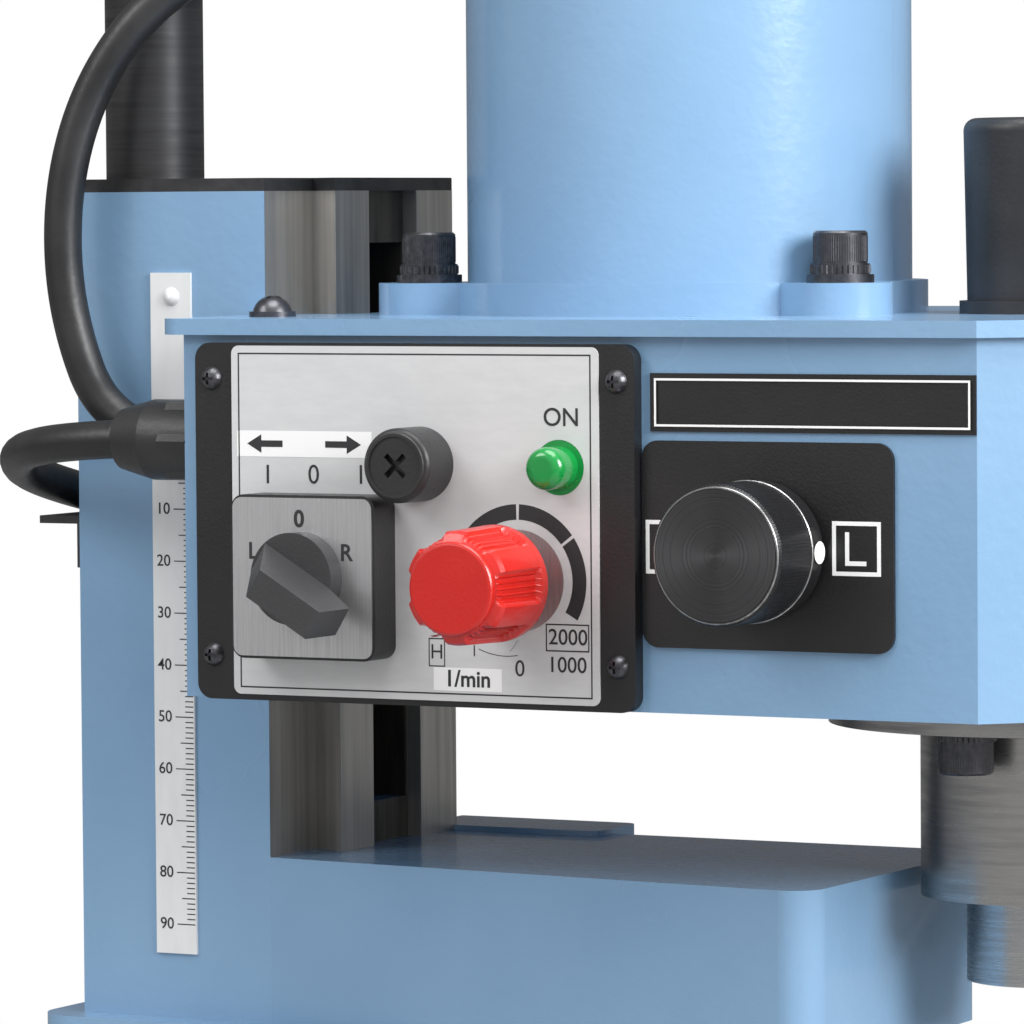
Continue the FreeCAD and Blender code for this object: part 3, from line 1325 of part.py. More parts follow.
bracket_end = base_half_x + bracket_thickness
screw_tail = dial_length + wheel_thickness + running_gap
save("saddle_bracket", place_on_screw(make_bracket(feed_screw_z, base_height / 4, way_top - fit_gap),
                                      base_half_x, 0, feed_screw_z, FRONT))
save("saddle_screw",
     rod(feed_screw_r, bracket_end + screw_tail - saddle_x0 + base_height, saddle_x0 - base_height, 0,
                         feed_screw_z, FRONT))
save_feed("saddle", bracket_end + running_gap, 0, feed_screw_z, FRONT)
table_bracket = make_bracket(cross_screw_z, saddle_top + fit_gap, table_top - slot_depth - fit_gap)
save("table_brackets", place_on_screw(table_bracket, spindle_x, -table_half, cross_screw_z, NEAR),
     place_on_screw(table_bracket, spindle_x, table_half, cross_screw_z, AWAY))
table_bracket_end = table_half + bracket_thickness
save("table_screw", rod(feed_screw_r, 2 * table_bracket_end + screw_tail, spindle_x, table_bracket_end,
                        cross_screw_z, NEAR))
save_feed("table", spindle_x, -table_bracket_end - running_gap, cross_screw_z, NEAR)
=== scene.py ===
import math

import bmesh
import bpy
from mathutils import Matrix, Vector


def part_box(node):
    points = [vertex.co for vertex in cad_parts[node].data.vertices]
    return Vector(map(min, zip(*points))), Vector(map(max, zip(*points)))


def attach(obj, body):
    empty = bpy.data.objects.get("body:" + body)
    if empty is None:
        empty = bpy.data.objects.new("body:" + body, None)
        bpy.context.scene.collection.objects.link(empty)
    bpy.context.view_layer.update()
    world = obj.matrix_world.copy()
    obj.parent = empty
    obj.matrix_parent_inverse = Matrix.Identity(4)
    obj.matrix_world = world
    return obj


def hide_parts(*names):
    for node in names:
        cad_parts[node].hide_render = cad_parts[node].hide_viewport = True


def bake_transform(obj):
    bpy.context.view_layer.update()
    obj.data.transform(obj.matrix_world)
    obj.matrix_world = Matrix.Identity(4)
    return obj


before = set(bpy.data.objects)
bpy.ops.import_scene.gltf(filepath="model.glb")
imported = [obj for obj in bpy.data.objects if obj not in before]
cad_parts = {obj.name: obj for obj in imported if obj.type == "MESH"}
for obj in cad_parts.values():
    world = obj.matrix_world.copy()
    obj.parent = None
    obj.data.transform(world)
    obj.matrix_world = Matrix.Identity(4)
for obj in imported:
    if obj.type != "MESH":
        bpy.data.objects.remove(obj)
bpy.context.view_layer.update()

# The camera stands a little over a metre off, at the machine's left front, level with the head's upper half.
# Its lens and lean follow the edges of the column, head and panel in the photograph.
camera_lens = 214.9
camera_place = Vector((0.5136, -1.044, 0.349))
camera_yaw, camera_pitch, camera_roll = math.radians(27.81), math.radians(2.87), math.radians(-0.41)
camera_data = bpy.data.cameras.new("camera")
camera_data.lens = camera_lens
camera_data.sensor_width = 36.0
camera_data.clip_start = 0.05
camera = bpy.data.objects.new("camera", camera_data)
bpy.context.collection.objects.link(camera)
ahead = Vector((-math.sin(camera_yaw) * math.cos(camera_pitch), math.cos(camera_yaw) * math.cos(camera_pitch),
                -math.sin(camera_pitch)))
level = Vector((math.cos(camera_yaw), math.sin(camera_yaw), 0.0))
upright = level.cross(ahead)
right = level * math.cos(camera_roll) + upright * math.sin(camera_roll)
above = upright * math.cos(camera_roll) - level * math.sin(camera_roll)
turned = Matrix((right, above, -ahead)).transposed().to_4x4()
camera.matrix_world = Matrix.Translation(camera_place) @ turned
bpy.context.scene.camera = camera

# The machine stands on a plain floor that the camera leaves out, before an even white ground. Soft lamps
# stand left, right and above, and the room is bright in front and darker behind. None of this is part of
# the machine.
floor_size = 6.0
floor_mesh = bpy.data.meshes.new("floor")
corners = [(-floor_size, -floor_size, 0), (floor_size, -floor_size, 0), (floor_size, floor_size, 0),
           (-floor_size, floor_size, 0)]
floor_mesh.from_pydata(corners, [], [(0, 1, 2, 3)])
floor = bpy.data.objects.new("floor", floor_mesh)
bpy.context.collection.objects.link(floor)
floor_paint = bpy.data.materials.new("pale floor")
floor_paint.use_nodes = True
floor_paint.node_tree.nodes["Principled BSDF"].inputs["Base Color"].default_value = (0.34, 0.34, 0.34, 1)
floor_paint.node_tree.nodes["Principled BSDF"].inputs["Roughness"].default_value = 0.9
floor_mesh.materials.append(floor_paint)
floor.visible_camera = False

world = bpy.data.worlds.new("studio")
bpy.context.scene.world = world
world.use_nodes = True
room = world.node_tree
room_light = room.nodes["Background"]
room_light.inputs["Color"].default_value = (1.0, 1.0, 1.0, 1)
room_way = room.nodes.new("ShaderNodeVectorMath")
room_way.operation = "DOT_PRODUCT"
room.links.new(room.nodes.new("ShaderNodeTexCoord").outputs["Generated"], room_way.inputs[0])
room_way.inputs[1].default_value = (0.46, -0.86, 0.22)
room_fall = room.nodes.new("ShaderNodeMapRange")
room.links.new(room_way.outputs["Value"], room_fall.inputs["Value"])
for fall_end, fall_value in (("From Min", -0.9), ("From Max", 0.7), ("To Min", 0.16), ("To Max", 0.62)):
    room_fall.inputs[fall_end].default_value = fall_value
room.links.new(room_fall.outputs["Result"], room_light.inputs["Strength"])
seen_light = room.nodes.new("ShaderNodeBackground")
seen_light.inputs["Color"].default_value = (1.0, 1.0, 1.0, 1)
ray = room.nodes.new("ShaderNodeLightPath")
choose = room.nodes.new("ShaderNodeMixShader")
room.links.new(ray.outputs["Is Camera Ray"], choose.inputs["Fac"])
room.links.new(room_light.outputs["Background"], choose.inputs[1])
room.links.new(seen_light.outputs["Background"], choose.inputs[2])
room.links.new(choose.outputs["Shader"], room.nodes["World Output"].inputs["Surface"])
studio_middle = Vector((0.03, -0.02, 0.3))
for lamp_name, lamp_place_at, lamp_size, lamp_power in (
        ("left lamp", (-0.9, -1.3, 1.35), 0.9, 13.0),
        ("right lamp", (1.45, -0.35, 0.95), 0.9, 36.0),
        ("top lamp", (0.2, -0.35, 1.7), 1.2, 22.0)):
    lamp_data = bpy.data.lights.new(lamp_name, "AREA")
    lamp_data.shape = "DISK"
    lamp_data.size = lamp_size
    lamp_data.energy = lamp_power
    lamp = bpy.data.objects.new(lamp_name, lamp_data)
    lamp.location = lamp_place_at
    lamp.rotation_euler = (studio_middle - lamp.location).to_track_quat("-Z", "Y").to_euler()
    bpy.context.collection.objects.link(lamp)
bpy.context.scene.view_settings.view_transform = "Standard"

# The base and pedestal are grey iron castings under the same sky blue enamel as the column and the head.
# The enamel is sprayed thick: it flows over the casting's skin, so it is glossy with a soft orange peel.
def effect_group(name, inputs, outputs):
    """A shader node group with named float or colour inputs, and what it puts out."""
    group = bpy.data.node_groups.new(name, "ShaderNodeTree")
    for label, kind, value in inputs:
        socket = group.interface.new_socket(label, in_out="INPUT", socket_type=kind)
        socket.default_value = value
    for label, kind in outputs:
        group.interface.new_socket(label, in_out="OUTPUT", socket_type=kind)
    return group, group.nodes.new("NodeGroupInput"), group.nodes.new("NodeGroupOutput")


def feed_socket(tree, socket, value):
    """Link a socket to another node's socket, or give it a value of its own."""
    if isinstance(value, bpy.types.NodeSocket):
        tree.links.new(value, socket)
    else:
        socket.default_value = value


def add_node(tree, kind, settings=None, **inputs):
    """A node with its settings, and with its inputs fed by name."""
    node = tree.nodes.new(kind)
    for key, value in (settings or {}).items():
        setattr(node, key, value)
    for key, value in inputs.items():
        feed_socket(tree, node.inputs[key.replace("_", " ")], value)
    return node


def blend_colours(tree, mask, first, second):
    """Mix two colours by a mask and give the mixed colour's socket."""
    node = tree.nodes.new("ShaderNodeMix")
    node.data_type = "RGBA"
    for socket, value in ((node.inputs[0], mask), (node.inputs[6], first), (node.inputs[7], second)):
        feed_socket(tree, socket, value)
    return node.outputs[2]


def spread(tree, value, low, high, to_low, to_high):
    """Carry a value from one range to another, held at its ends."""
    return add_node(tree, "ShaderNodeMapRange", None, Value=value, From_Min=low, From_Max=high,
                    To_Min=to_low, To_Max=to_high).outputs["Result"]


def scaled_sum(tree, value, factor, added):
    """The value times a factor, and something added."""
    node = tree.nodes.new("ShaderNodeMath")
    node.operation = "MULTIPLY_ADD"
    for socket, term in zip(node.inputs, (value, factor, added)):
        feed_socket(tree, socket, term)
    return node.outputs["Value"]


def place_of(tree, stretch=(1.0, 1.0, 1.0)):
    """Object coordinates in metres, stretched along the axes."""
    place = tree.nodes.new("ShaderNodeTexCoord").outputs["Object"]
    return add_node(tree, "ShaderNodeMapping", None, Vector=place, Scale=stretch).outputs["Vector"]


enamel, given, sent = effect_group(
    "thick enamel",
    [("Fresh", "NodeSocketColor", (0.2, 0.4, 0.6, 1)), ("Thin", "NodeSocketColor", (0.2, 0.4, 0.6, 1)),
     ("Peel Size", "NodeSocketFloat", 500.0), ("Peel Height", "NodeSocketFloat", 0.1),
     ("Gloss", "NodeSocketFloat", 0.2)],
    [("Color", "NodeSocketColor"), ("Roughness", "NodeSocketFloat"), ("Normal", "NodeSocketVector")])
at = place_of(enamel)
cloud = add_node(enamel, "ShaderNodeTexNoise", None, Vector=at, Scale=22.0, Detail=3.0)
mottle = spread(enamel, cloud.outputs["Fac"], 0.3, 0.7, 0.0, 1.0)
peel = add_node(enamel, "ShaderNodeTexNoise", None, Vector=at, Scale=given.outputs["Peel Size"], Detail=2.0)
skin = add_node(enamel, "ShaderNodeTexNoise", None, Vector=at, Scale=70.0, Detail=2.0)
wave = add_node(enamel, "ShaderNodeMath", {"operation": "ADD"})
enamel.links.new(peel.outputs["Fac"], wave.inputs[0])
enamel.links.new(skin.outputs["Fac"], wave.inputs[1])
bump = add_node(enamel, "ShaderNodeBump", None, Strength=given.outputs["Peel Height"], Distance=0.0004,
                Height=wave.outputs["Value"])
gloss = scaled_sum(enamel, cloud.outputs["Fac"], 0.12, given.outputs["Gloss"])
enamel.links.new(blend_colours(enamel, mottle, given.outputs["Fresh"], given.outputs["Thin"]),
                 sent.inputs["Color"])
enamel.links.new(gloss, sent.inputs["Roughness"])
enamel.links.new(bump.outputs["Normal"], sent.inputs["Normal"])


def dressed(name, group, metallic=0.0, coat=0.0, **settings):
    """A material that takes its colour, roughness and normal from an effect group with these settings."""
    material = bpy.data.materials.new(name)
    material.use_nodes = True
    tree = material.node_tree
    shader = tree.nodes["Principled BSDF"]
    effect = tree.nodes.new("ShaderNodeGroup")
    effect.node_tree = group
    for label, value in settings.items():
        effect.inputs[label.replace("_", " ")].default_value = value
    for given_out, taken_in in (("Color", "Base Color"), ("Roughness", "Roughness"), ("Normal", "Normal")):
        tree.links.new(effect.outputs[given_out], shader.inputs[taken_in])
    shader.inputs["Metallic"].default_value = metallic
    shader.inputs["Coat Weight"].default_value = coat
    return material


def finish_nodes(material, *nodes, edge=0.0004):
    """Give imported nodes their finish, with the small broken edge that a real piece has."""
    for name in nodes:
        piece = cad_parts[name]
        if not piece.material_slots:
            piece.data.materials.append(material)
        for held in piece.material_slots:
            held.material = material
        if edge:
            rounding = piece.modifiers.new("broken edge", "BEVEL")
            rounding.width = edge
            rounding.segments = 2
            rounding.limit_method = "ANGLE"
            rounding.angle_limit = math.radians(42)
            rounding.harden_normals = False


sky_blue = (0.205, 0.345, 0.515, 1)
sky_blue_thin = (0.175, 0.31, 0.475, 1)
casting_enamel = dressed("sky blue enamel on castings", enamel, Fresh=sky_blue, Thin=sky_blue_thin,
                         Peel_Size=420.0, Peel_Height=0.18, Gloss=0.2, coat=0.35)
finish_nodes(casting_enamel, "base", "pedestal", edge=0.0012)

# Socket head bolts hold the pedestal to the base and the column to the pedestal.
# They are high tensile steel with a black oxide skin that has worn a little bright on its edges.
worked_metal, given, sent = effect_group(
    "worked metal",
    [("Bright", "NodeSocketColor", (0.6, 0.6, 0.6, 1)), ("Dull", "NodeSocketColor", (0.4, 0.4, 0.4, 1)),
     ("Lay", "NodeSocketVector", (1.0, 1.0, 1.0)), ("Line Scale", "NodeSocketFloat", 400.0),
     ("Line Height", "NodeSocketFloat", 0.1), ("Polish", "NodeSocketFloat", 0.3),
     ("Roughness Spread", "NodeSocketFloat", 0.15)],
    [("Color", "NodeSocketColor"), ("Roughness", "NodeSocketFloat"), ("Normal", "NodeSocketVector")])
at = worked_metal.nodes.new("ShaderNodeTexCoord").outputs["Object"]
along = add_node(worked_metal, "ShaderNodeVectorMath", {"operation": "MULTIPLY"})
worked_metal.links.new(at, along.inputs[0])
worked_metal.links.new(given.outputs["Lay"], along.inputs[1])
lines = add_node(worked_metal, "ShaderNodeTexNoise", None, Vector=along.outputs["Vector"],
                 Scale=given.outputs["Line Scale"], Detail=4.0, Roughness=0.6)
patches = add_node(worked_metal, "ShaderNodeTexNoise", None, Vector=at, Scale=35.0, Detail=3.0)
mask = spread(worked_metal, lines.outputs["Fac"], 0.35, 0.65, 0.0, 1.0)
share = add_node(worked_metal, "ShaderNodeMath", {"operation": "MULTIPLY"})
worked_metal.links.new(mask, share.inputs[0])
worked_metal.links.new(spread(worked_metal, patches.outputs["Fac"], 0.3, 0.7, 0.35, 1.0), share.inputs[1])
worked_metal.links.new(blend_colours(worked_metal, share.outputs["Value"], given.outputs["Bright"],
                                     given.outputs["Dull"]), sent.inputs["Color"])
rough = scaled_sum(worked_metal, share.outputs["Value"], given.outputs["Roughness Spread"],
                   given.outputs["Polish"])
worked_metal.links.new(rough, sent.inputs["Roughness"])
scratch = add_node(worked_metal, "ShaderNodeBump", None, Strength=given.outputs["Line Height"],
                   Distance=0.0002,
                   Height=lines.outputs["Fac"])
worked_metal.links.new(scratch.outputs["Normal"], sent.inputs["Normal"])
black_oxide = dressed("black oxide", worked_metal, Bright=(0.10, 0.10, 0.11, 1), Dull=(0.045, 0.046, 0.05, 1),
                      Line_Scale=900.0, Line_Height=0.15, Polish=0.3, Roughness_Spread=0.12, metallic=0.85)
finish_nodes(black_oxide, "frame_bolts", edge=0.0003)

# The column is an iron casting, enamelled outside, with its dovetail planed and left bare and oiled.
# Its foot runs forward under the head. The sides of the dovetail show the planer's long upright lines.
planed_iron = dressed("planed and oiled iron", worked_metal, Bright=(0.56, 0.54, 0.51, 1),
                      Dull=(0.34, 0.325, 0.305, 1), Lay=(6.0, 6.0, 0.16), Line_Scale=70.0, Line_Height=0.05,
                      Polish=0.36, Roughness_Spread=0.12, metallic=0.9)
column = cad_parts["column"]
ledge_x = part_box("head_casting")[0][0] - 0.00012
deck_z = 0.225
finish_nodes(casting_enamel, "column", edge=0.0006)
# The faces in the column's channel, from the dovetail's recess floor back into the slot, are coloured near
# black. The recess floor is dark rough iron, and the slot behind it is painted shade.
dark_iron_and_channel_shade = dressed("dark rough iron and painted channel shade", worked_metal, Bright=(0.085, 0.075, 0.062, 1),
                       Dull=(0.030, 0.027, 0.024, 1), Lay=(3.0, 3.0, 0.3), Line_Scale=120.0, Line_Height=0.15,
                       Polish=0.34, Roughness_Spread=0.2, metallic=0.5)
column.data.materials.append(dark_iron_and_channel_shade)
channel_half, channel_back, channel_front = 0.0345, ledge_x - 0.0385, ledge_x + 0.0046
for face in column.data.polygons:
    face_at, face_way = column.matrix_world @ face.center, column.matrix_world.to_3x3() @ face.normal
    in_channel = abs(face_at.y) < channel_half and channel_back < face_at.x < channel_front
    if in_channel and face_at.z > deck_z and abs(face_way.z) < 0.5:
        face.material_index = 1


def laid_piece(name, mesh, material, body, place=None):
    """A finished mesh as a piece of its own, put in its place and carried by a body."""
    data = bpy.data.meshes.new(name)
    mesh.to_mesh(data)
    mesh.free()
    data.materials.append(material)
    piece = bpy.data.objects.new(name, data)
    bpy.context.collection.objects.link(piece)
    if place:
        piece.matrix_world = place
    if body:
        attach(piece, body)
    return piece


bare, deck_clear, column_half = 0.00004, 0.001, 0.0375
dovetail_front = ledge_x + 0.0075
land_half, root_half, recess_left, recess_right = 0.02325, 0.01895, 0.01025, 0.0089
recess_floor = ledge_x + 0.0045
column_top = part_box("column")[1][2]
way_faces = (
    ("dovetail_near_land", [(dovetail_front, -land_half), (dovetail_front, -recess_left)]),
    ("dovetail_far_land", [(dovetail_front, recess_right), (dovetail_front, land_half)]),
    ("dovetail_recess_wall", [(recess_floor, recess_right), (dovetail_front, recess_right)]),
    ("dovetail_near_flank", [(ledge_x, -root_half), (dovetail_front, -land_half)]),
    ("dovetail_far_flank", [(dovetail_front, land_half), (ledge_x, root_half)]),
    ("dovetail_near_ledge", [(ledge_x, -column_half), (ledge_x, -root_half)]),
    ("dovetail_far_ledge", [(ledge_x, root_half), (ledge_x, column_half)]))
for face_name, ((x0, y0), (x1, y1)) in way_faces:
    out = Vector((y1 - y0, x0 - x1, 0)).normalized() * bare
    low = deck_z + (deck_clear if y1 == column_half else 0)
    facing = bmesh.new()
    facing.faces.new([facing.verts.new((x + out.x, y + out.y, z)) for x, y, z in (
        (x0, y0, low), (x1, y1, low), (x1, y1, column_top), (x0, y0, column_top))])
    laid_piece(face_name, facing, planed_iron, "frame")

# A thin black oiled plate closes the column's top, and small domed screws hold it down.
cap_black = dressed("blackened plate", worked_metal, Bright=(0.05, 0.05, 0.052, 1),
                    Dull=(0.018, 0.018, 0.02, 1), Line_Scale=160.0, Line_Height=0.1, Polish=0.36,
                    Roughness_Spread=0.15, metallic=0.4)
finish_nodes(cap_black, "column_cap", "lead_clip", edge=0.0003)

# The millimetre scale is a thin strip of white lacquered aluminium, printed in black and held by a domed
# rivet. Zero is near its top, and the figures count the head's way down.
scale_white = dressed("white lacquered strip", worked_metal, Bright=(0.74, 0.75, 0.75, 1),
                      Dull=(0.66, 0.67, 0.68, 1), Lay=(1, 1, 0.2), Line_Scale=300.0, Line_Height=0.03,
                      Polish=0.32, Roughness_Spread=0.1, metallic=0.1)
finish_nodes(scale_white, "scale_strip", edge=0.0)


def printing_ink(name, colour, grain, low, high):
    """Ink or lacquer with a slightly uneven gloss."""
    ink = bpy.data.materials.new(name)
    ink.use_nodes = True
    tree = ink.node_tree
    shader = tree.nodes["Principled BSDF"]
    shader.inputs["Base Color"].default_value = colour
    speckle = add_node(tree, "ShaderNodeTexNoise", None, Vector=place_of(tree), Scale=grain)
    tree.links.new(spread(tree, speckle.outputs["Fac"], 0.3, 0.7, low, high), shader.inputs["Roughness"])
    return ink


print_black = printing_ink("printed black", (0.02, 0.02, 0.022, 1), 900.0, 0.4, 0.6)
near_right, near_up, near_out = Vector((1, 0, 0)), Vector((0, 0, 1)), Vector((0, -1, 0))
near_turn = Matrix((near_right, near_up, near_out)).transposed().to_4x4()
print_rise = 0.00003


def lettering(name, words, size, place, weight=0.0, body="head"):
    """Printed figures whose middle lies on a place of a packed face."""
    letters = bpy.data.curves.new(name, "FONT")
    letters.body = words
    letters.size = size
    letters.align_x = "CENTER"
    letters.align_y = "CENTER"
    letters.extrude = 0.00002
    letters.offset = weight
    letters.materials.append(print_black)
    piece = bpy.data.objects.new(name, letters)
    bpy.context.collection.objects.link(piece)
    piece.matrix_world = Matrix.Translation(Vector(place) + near_out * print_rise) @ near_turn
    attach(piece, body)


def printed_shape(name, outlines, place, material=print_black, body="head", across=near_right,
                  upward=near_up):
    """Flat printed polygons given in metres about a place on a face."""
    mesh = bmesh.new()
    out = across.cross(upward)
    for outline in outlines:
        verts = [mesh.verts.new(Vector(place) + across * u + upward * v + out * print_rise) for u,
                 v in outline]
        mesh.faces.new(verts)
    return laid_piece(name, mesh, material, body)


def bar(u0, u1, v0, v1):
    """The corners of an upright rectangle."""
    return [(u0, v0), (u1, v0), (u1, v1), (u0, v1)]


strip_thick = 0.0006
strip_y = -column_half - strip_thick
strip_x0, strip_x1 = ledge_x - 0.0251, ledge_x - 0.0162
scale_zero_z, scale_marks = deck_z + 0.0763, 90
tick_width = 0.00022
ticks = []
for millimetre in range(scale_marks + 1):
    reach = 0.0040 if millimetre % 10 == 0 else (0.0029 if millimetre % 5 == 0 else 0.0018)
    down = -0.001 * millimetre
    ticks.append(bar(-reach, 0, down - tick_width / 2, down + tick_width / 2))
printed_shape("scale_marks", ticks, (strip_x1 - 0.0002, strip_y, scale_zero_z), body="frame")
for tens in range(0, scale_marks + 1, 10):
    lettering(f"scale_figure_{tens}", str(tens), 0.0031,
              (strip_x0 + 0.0024, strip_y, scale_zero_z - 0.001 * tens),
              body="frame", weight=0.00002)

# The lift screw turns in a bearing tube on the cap. A chromed handwheel on top raises and lowers the head.
turned_steel = dressed("turned steel", worked_metal, Bright=(0.52, 0.52, 0.52, 1),
                       Dull=(0.28, 0.28, 0.285, 1), Lay=(0.35, 0.35, 9.0), Line_Scale=160.0, Line_Height=0.1,
                       Polish=0.22, Roughness_Spread=0.2, metallic=1.0)
polished_chrome = dressed("polished chrome", worked_metal, Bright=(0.62, 0.62, 0.63, 1),
                          Dull=(0.5, 0.5, 0.51, 1), Line_Scale=120.0, Line_Height=0.02, Polish=0.12,
                          Roughness_Spread=0.08, metallic=1.0)
black_tube = dressed("blackened tube", worked_metal, Bright=(0.05, 0.05, 0.052, 1),
                     Dull=(0.02, 0.02, 0.022, 1), Lay=(0.3, 0.3, 6.0), Line_Scale=150.0, Line_Height=0.06,
                     Polish=0.38, Roughness_Spread=0.12, metallic=0.5)
finish_nodes(black_tube, "lift_tube", edge=0.0004)
finish_nodes(turned_steel, "lift_screw", edge=0.0003)
finish_nodes(polished_chrome, "lift_wheel", "saddle_handwheel", "table_handwheel", edge=0.0004)

# The mains lead is a black rubber cord of 7.3 mm. It leaves the head by its gland, swings round behind the
# column, rests on a small steel tab and drops to the floor, where its spare length is wound and tied behind
# the base. The first stretch, by the head, is a tube of its own.
cord_width = 0.0073
rubber, given, sent = effect_group(
    "cord rubber", [("Shade", "NodeSocketColor", (0.02, 0.02, 0.02, 1)),
                    ("Dusty", "NodeSocketColor", (0.05, 0.05, 0.05, 1)),
                    ("Grain Scale", "NodeSocketFloat", 500.0), ("Sheen", "NodeSocketFloat", 0.4)],
    [("Color", "NodeSocketColor"), ("Roughness", "NodeSocketFloat"), ("Normal", "NodeSocketVector")])
at = place_of(rubber)
dust = add_node(rubber, "ShaderNodeTexNoise", None, Vector=at, Scale=60.0, Detail=5.0)
grain = add_node(rubber, "ShaderNodeTexNoise", None, Vector=at, Scale=given.outputs["Grain Scale"],
                 Detail=3.0)
rubber.links.new(blend_colours(rubber, spread(rubber, dust.outputs["Fac"], 0.45, 0.75, 0.0, 0.8),
                               given.outputs["Shade"], given.outputs["Dusty"]), sent.inputs["Color"])
rubber.links.new(scaled_sum(rubber, grain.outputs["Fac"], 0.2, given.outputs["Sheen"]),
                 sent.inputs["Roughness"])
pores = add_node(rubber, "ShaderNodeBump", None, Strength=0.25, Distance=0.0002, Height=grain.outputs["Fac"])
rubber.links.new(pores.outputs["Normal"], sent.inputs["Normal"])
black_rubber = dressed("black cord rubber", rubber, Shade=(0.011, 0.011, 0.012, 1),
                       Dusty=(0.03, 0.03, 0.031, 1), Grain_Scale=900.0, Sheen=0.32)


def cord_curve(name, route, bevel=0.0):
    """One smooth rubber spline that has the route's points, in metres, as its control points."""
    line = bpy.data.curves.new(name, "CURVE")
    line.dimensions = "3D"
    line.resolution_u = 12
    line.bevel_depth = bevel
    line.bevel_resolution = 6
    line.use_fill_caps = True
    line.materials.append(black_rubber)
    spline = line.splines.new("NURBS")
    spline.points.add(len(route) - 1)
    for point, place in zip(spline.points, route):
        point.co = (*place, 1.0)
    spline.order_u = 3
    spline.use_endpoint_u = True
    piece = bpy.data.objects.new(name, line)
    bpy.context.collection.objects.link(piece)
    return piece


def line_points(curve):
    """Points along a curve's own smooth line, and their total length."""
    plain = curve.copy()
    plain.data = curve.data.copy()
    plain.data.bevel_depth = 0.0
    bpy.context.collection.objects.link(plain)
    bpy.context.view_layer.update()
    flat = bpy.data.meshes.new_from_object(plain.evaluated_get(bpy.context.evaluated_depsgraph_get()))
    points = [v.co.copy() for v in flat.vertices]
    bpy.data.objects.remove(plain)
    return points, sum((b - a).length for a, b in zip(points, points[1:]))


def join_rings(mesh, rings, closed=False):
    """Faces between rings of points, and from the last ring back to the first where they close."""
    for first, second in zip(rings, rings[1:] + (rings[:1] if closed else [])):
        for k, point in enumerate(first):
            after = (k + 1) % len(first)
            mesh.faces.new((point, first[after], second[after], second[k]))


def tube_mesh(name, points, radius, material, sides=20):
    """Closed round tube along points, with rings square to the line."""
    mesh = bmesh.new()
    rings = []
    side = Vector((0, 0, 1))
    for index, point in enumerate(points):
        ahead_point = points[min(index + 1, len(points) - 1)]
        behind_point = points[max(index - 1, 0)]
        way = (ahead_point - behind_point).normalized()
        side = (side - way * side.dot(way)).normalized()
        other = way.cross(side)
        rings.append([mesh.verts.new(point + (side * math.cos(2 * math.pi * k / sides)
                                              + other * math.sin(2 * math.pi * k / sides)) * radius)
                      for k in range(sides)])
    join_rings(mesh, rings)
    mesh.faces.new(rings[0][::-1])
    mesh.faces.new(rings[-1])
    bmesh.ops.recalc_face_normals(mesh, faces=mesh.faces)
    for face in mesh.faces:
        face.smooth = len(face.verts) == 4
    return laid_piece(name, mesh, material, None)


loop_route = [(-0.0877, -0.0600, 0.3056), (-0.1030, -0.0600, 0.3050), (-0.1180, -0.0520, 0.3020),
              (-0.1240, -0.0360, 0.2970), (-0.1215, -0.0200, 0.2934)]
loop_line = cord_curve("loop_line", loop_route)
loop_points, loop_length = line_points(loop_line)
bpy.data.objects.remove(loop_line)
mains_loop = tube_mesh("mains_lead_by_the_head", loop_points, cord_width / 2, black_rubber)
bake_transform(mains_loop)
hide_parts("mains_lead_loop")

drop_route = [(-0.1215, -0.0200, 0.2934), (-0.1195, -0.0070, 0.2905), (-0.1240, 0.0050, 0.2760),
              (-0.1290, 0.0120, 0.2480), (-0.1300, 0.0150, 0.1960), (-0.1310, 0.0140, 0.1300),
              (-0.1370, 0.0130, 0.0760), (-0.1410, 0.0160, 0.0340), (-0.1520, 0.0230, 0.0080),
              (-0.1720, 0.0290, 0.0037)]
coil_middle, coil_radius, coil_turns, steps_per_turn = Vector((-0.190, -0.010)), 0.040, 4.25, 16
coil_route = []
for step in range(int(coil_turns * steps_per_turn) + 1):
    travel = step / steps_per_turn
    swell, rise = ((0.5, 0.0), (-0.5, 0.0), (-0.5, 1.0), (0.5, 1.0))[min(int(travel), 3)]
    bearing = math.pi / 2 + 2 * math.pi * travel
    reach = coil_radius + swell * cord_width
    coil_route.append((coil_middle.x + reach * math.cos(bearing), coil_middle.y + reach * math.sin(bearing),
                       0.0037 + rise * cord_width))
tail_route = [(-0.2372, -0.0300, 0.0105), (-0.2360, -0.0480, 0.0150), (-0.2300, -0.0660, 0.0180)]
mains_lead = cord_curve("mains_lead", drop_route + coil_route + tail_route, cord_width / 2)
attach(mains_lead, "frame")
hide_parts("mains_lead_drop", "mains_lead_coil")
lead_length = line_points(mains_lead)[1]

# A moulded plug with two round pins ends the lead, and a black plastic tie is drawn round the coil.
# The tie is one moulded strap that bends round the four turns, with its small square lock outside.
moulded_black = dressed("moulded black plastic", rubber, Shade=(0.014, 0.014, 0.015, 1),
                        Dusty=(0.028, 0.028, 0.029, 1), Grain_Scale=1400.0, Sheen=0.34)
finish_nodes(moulded_black, "mains_plug", edge=0.0012)
strap = bmesh.new()
strap_half, strap_thick, strap_out = 0.0020, 0.0006, cord_width + 0.0002
strap_rings = []
for step in range(32):
    bearing = 2 * math.pi * step / 32
    reach = strap_out * min(1.32, 1 / max(abs(math.cos(bearing)), abs(math.sin(bearing))))
    ring = []
    for side, thick in ((-strap_half, 0), (strap_half, 0), (strap_half, strap_thick),
                        (-strap_half, strap_thick)):
        grown = reach + thick
        ring.append(strap.verts.new((side, -coil_radius + grown * math.cos(bearing),
                                     cord_width + 0.00005 + grown * math.sin(bearing))))
    strap_rings.append(ring)
join_rings(strap, strap_rings, closed=True)
lock = bmesh.ops.create_cube(strap, size=1.0)["verts"]
for vert in lock:
    vert.co = Vector((vert.co.x * 0.0052, -coil_radius - strap_out - 0.0016 + vert.co.y * 0.0036,
                      cord_width + vert.co.z * 0.0056))
bmesh.ops.recalc_face_normals(strap, faces=strap.faces)
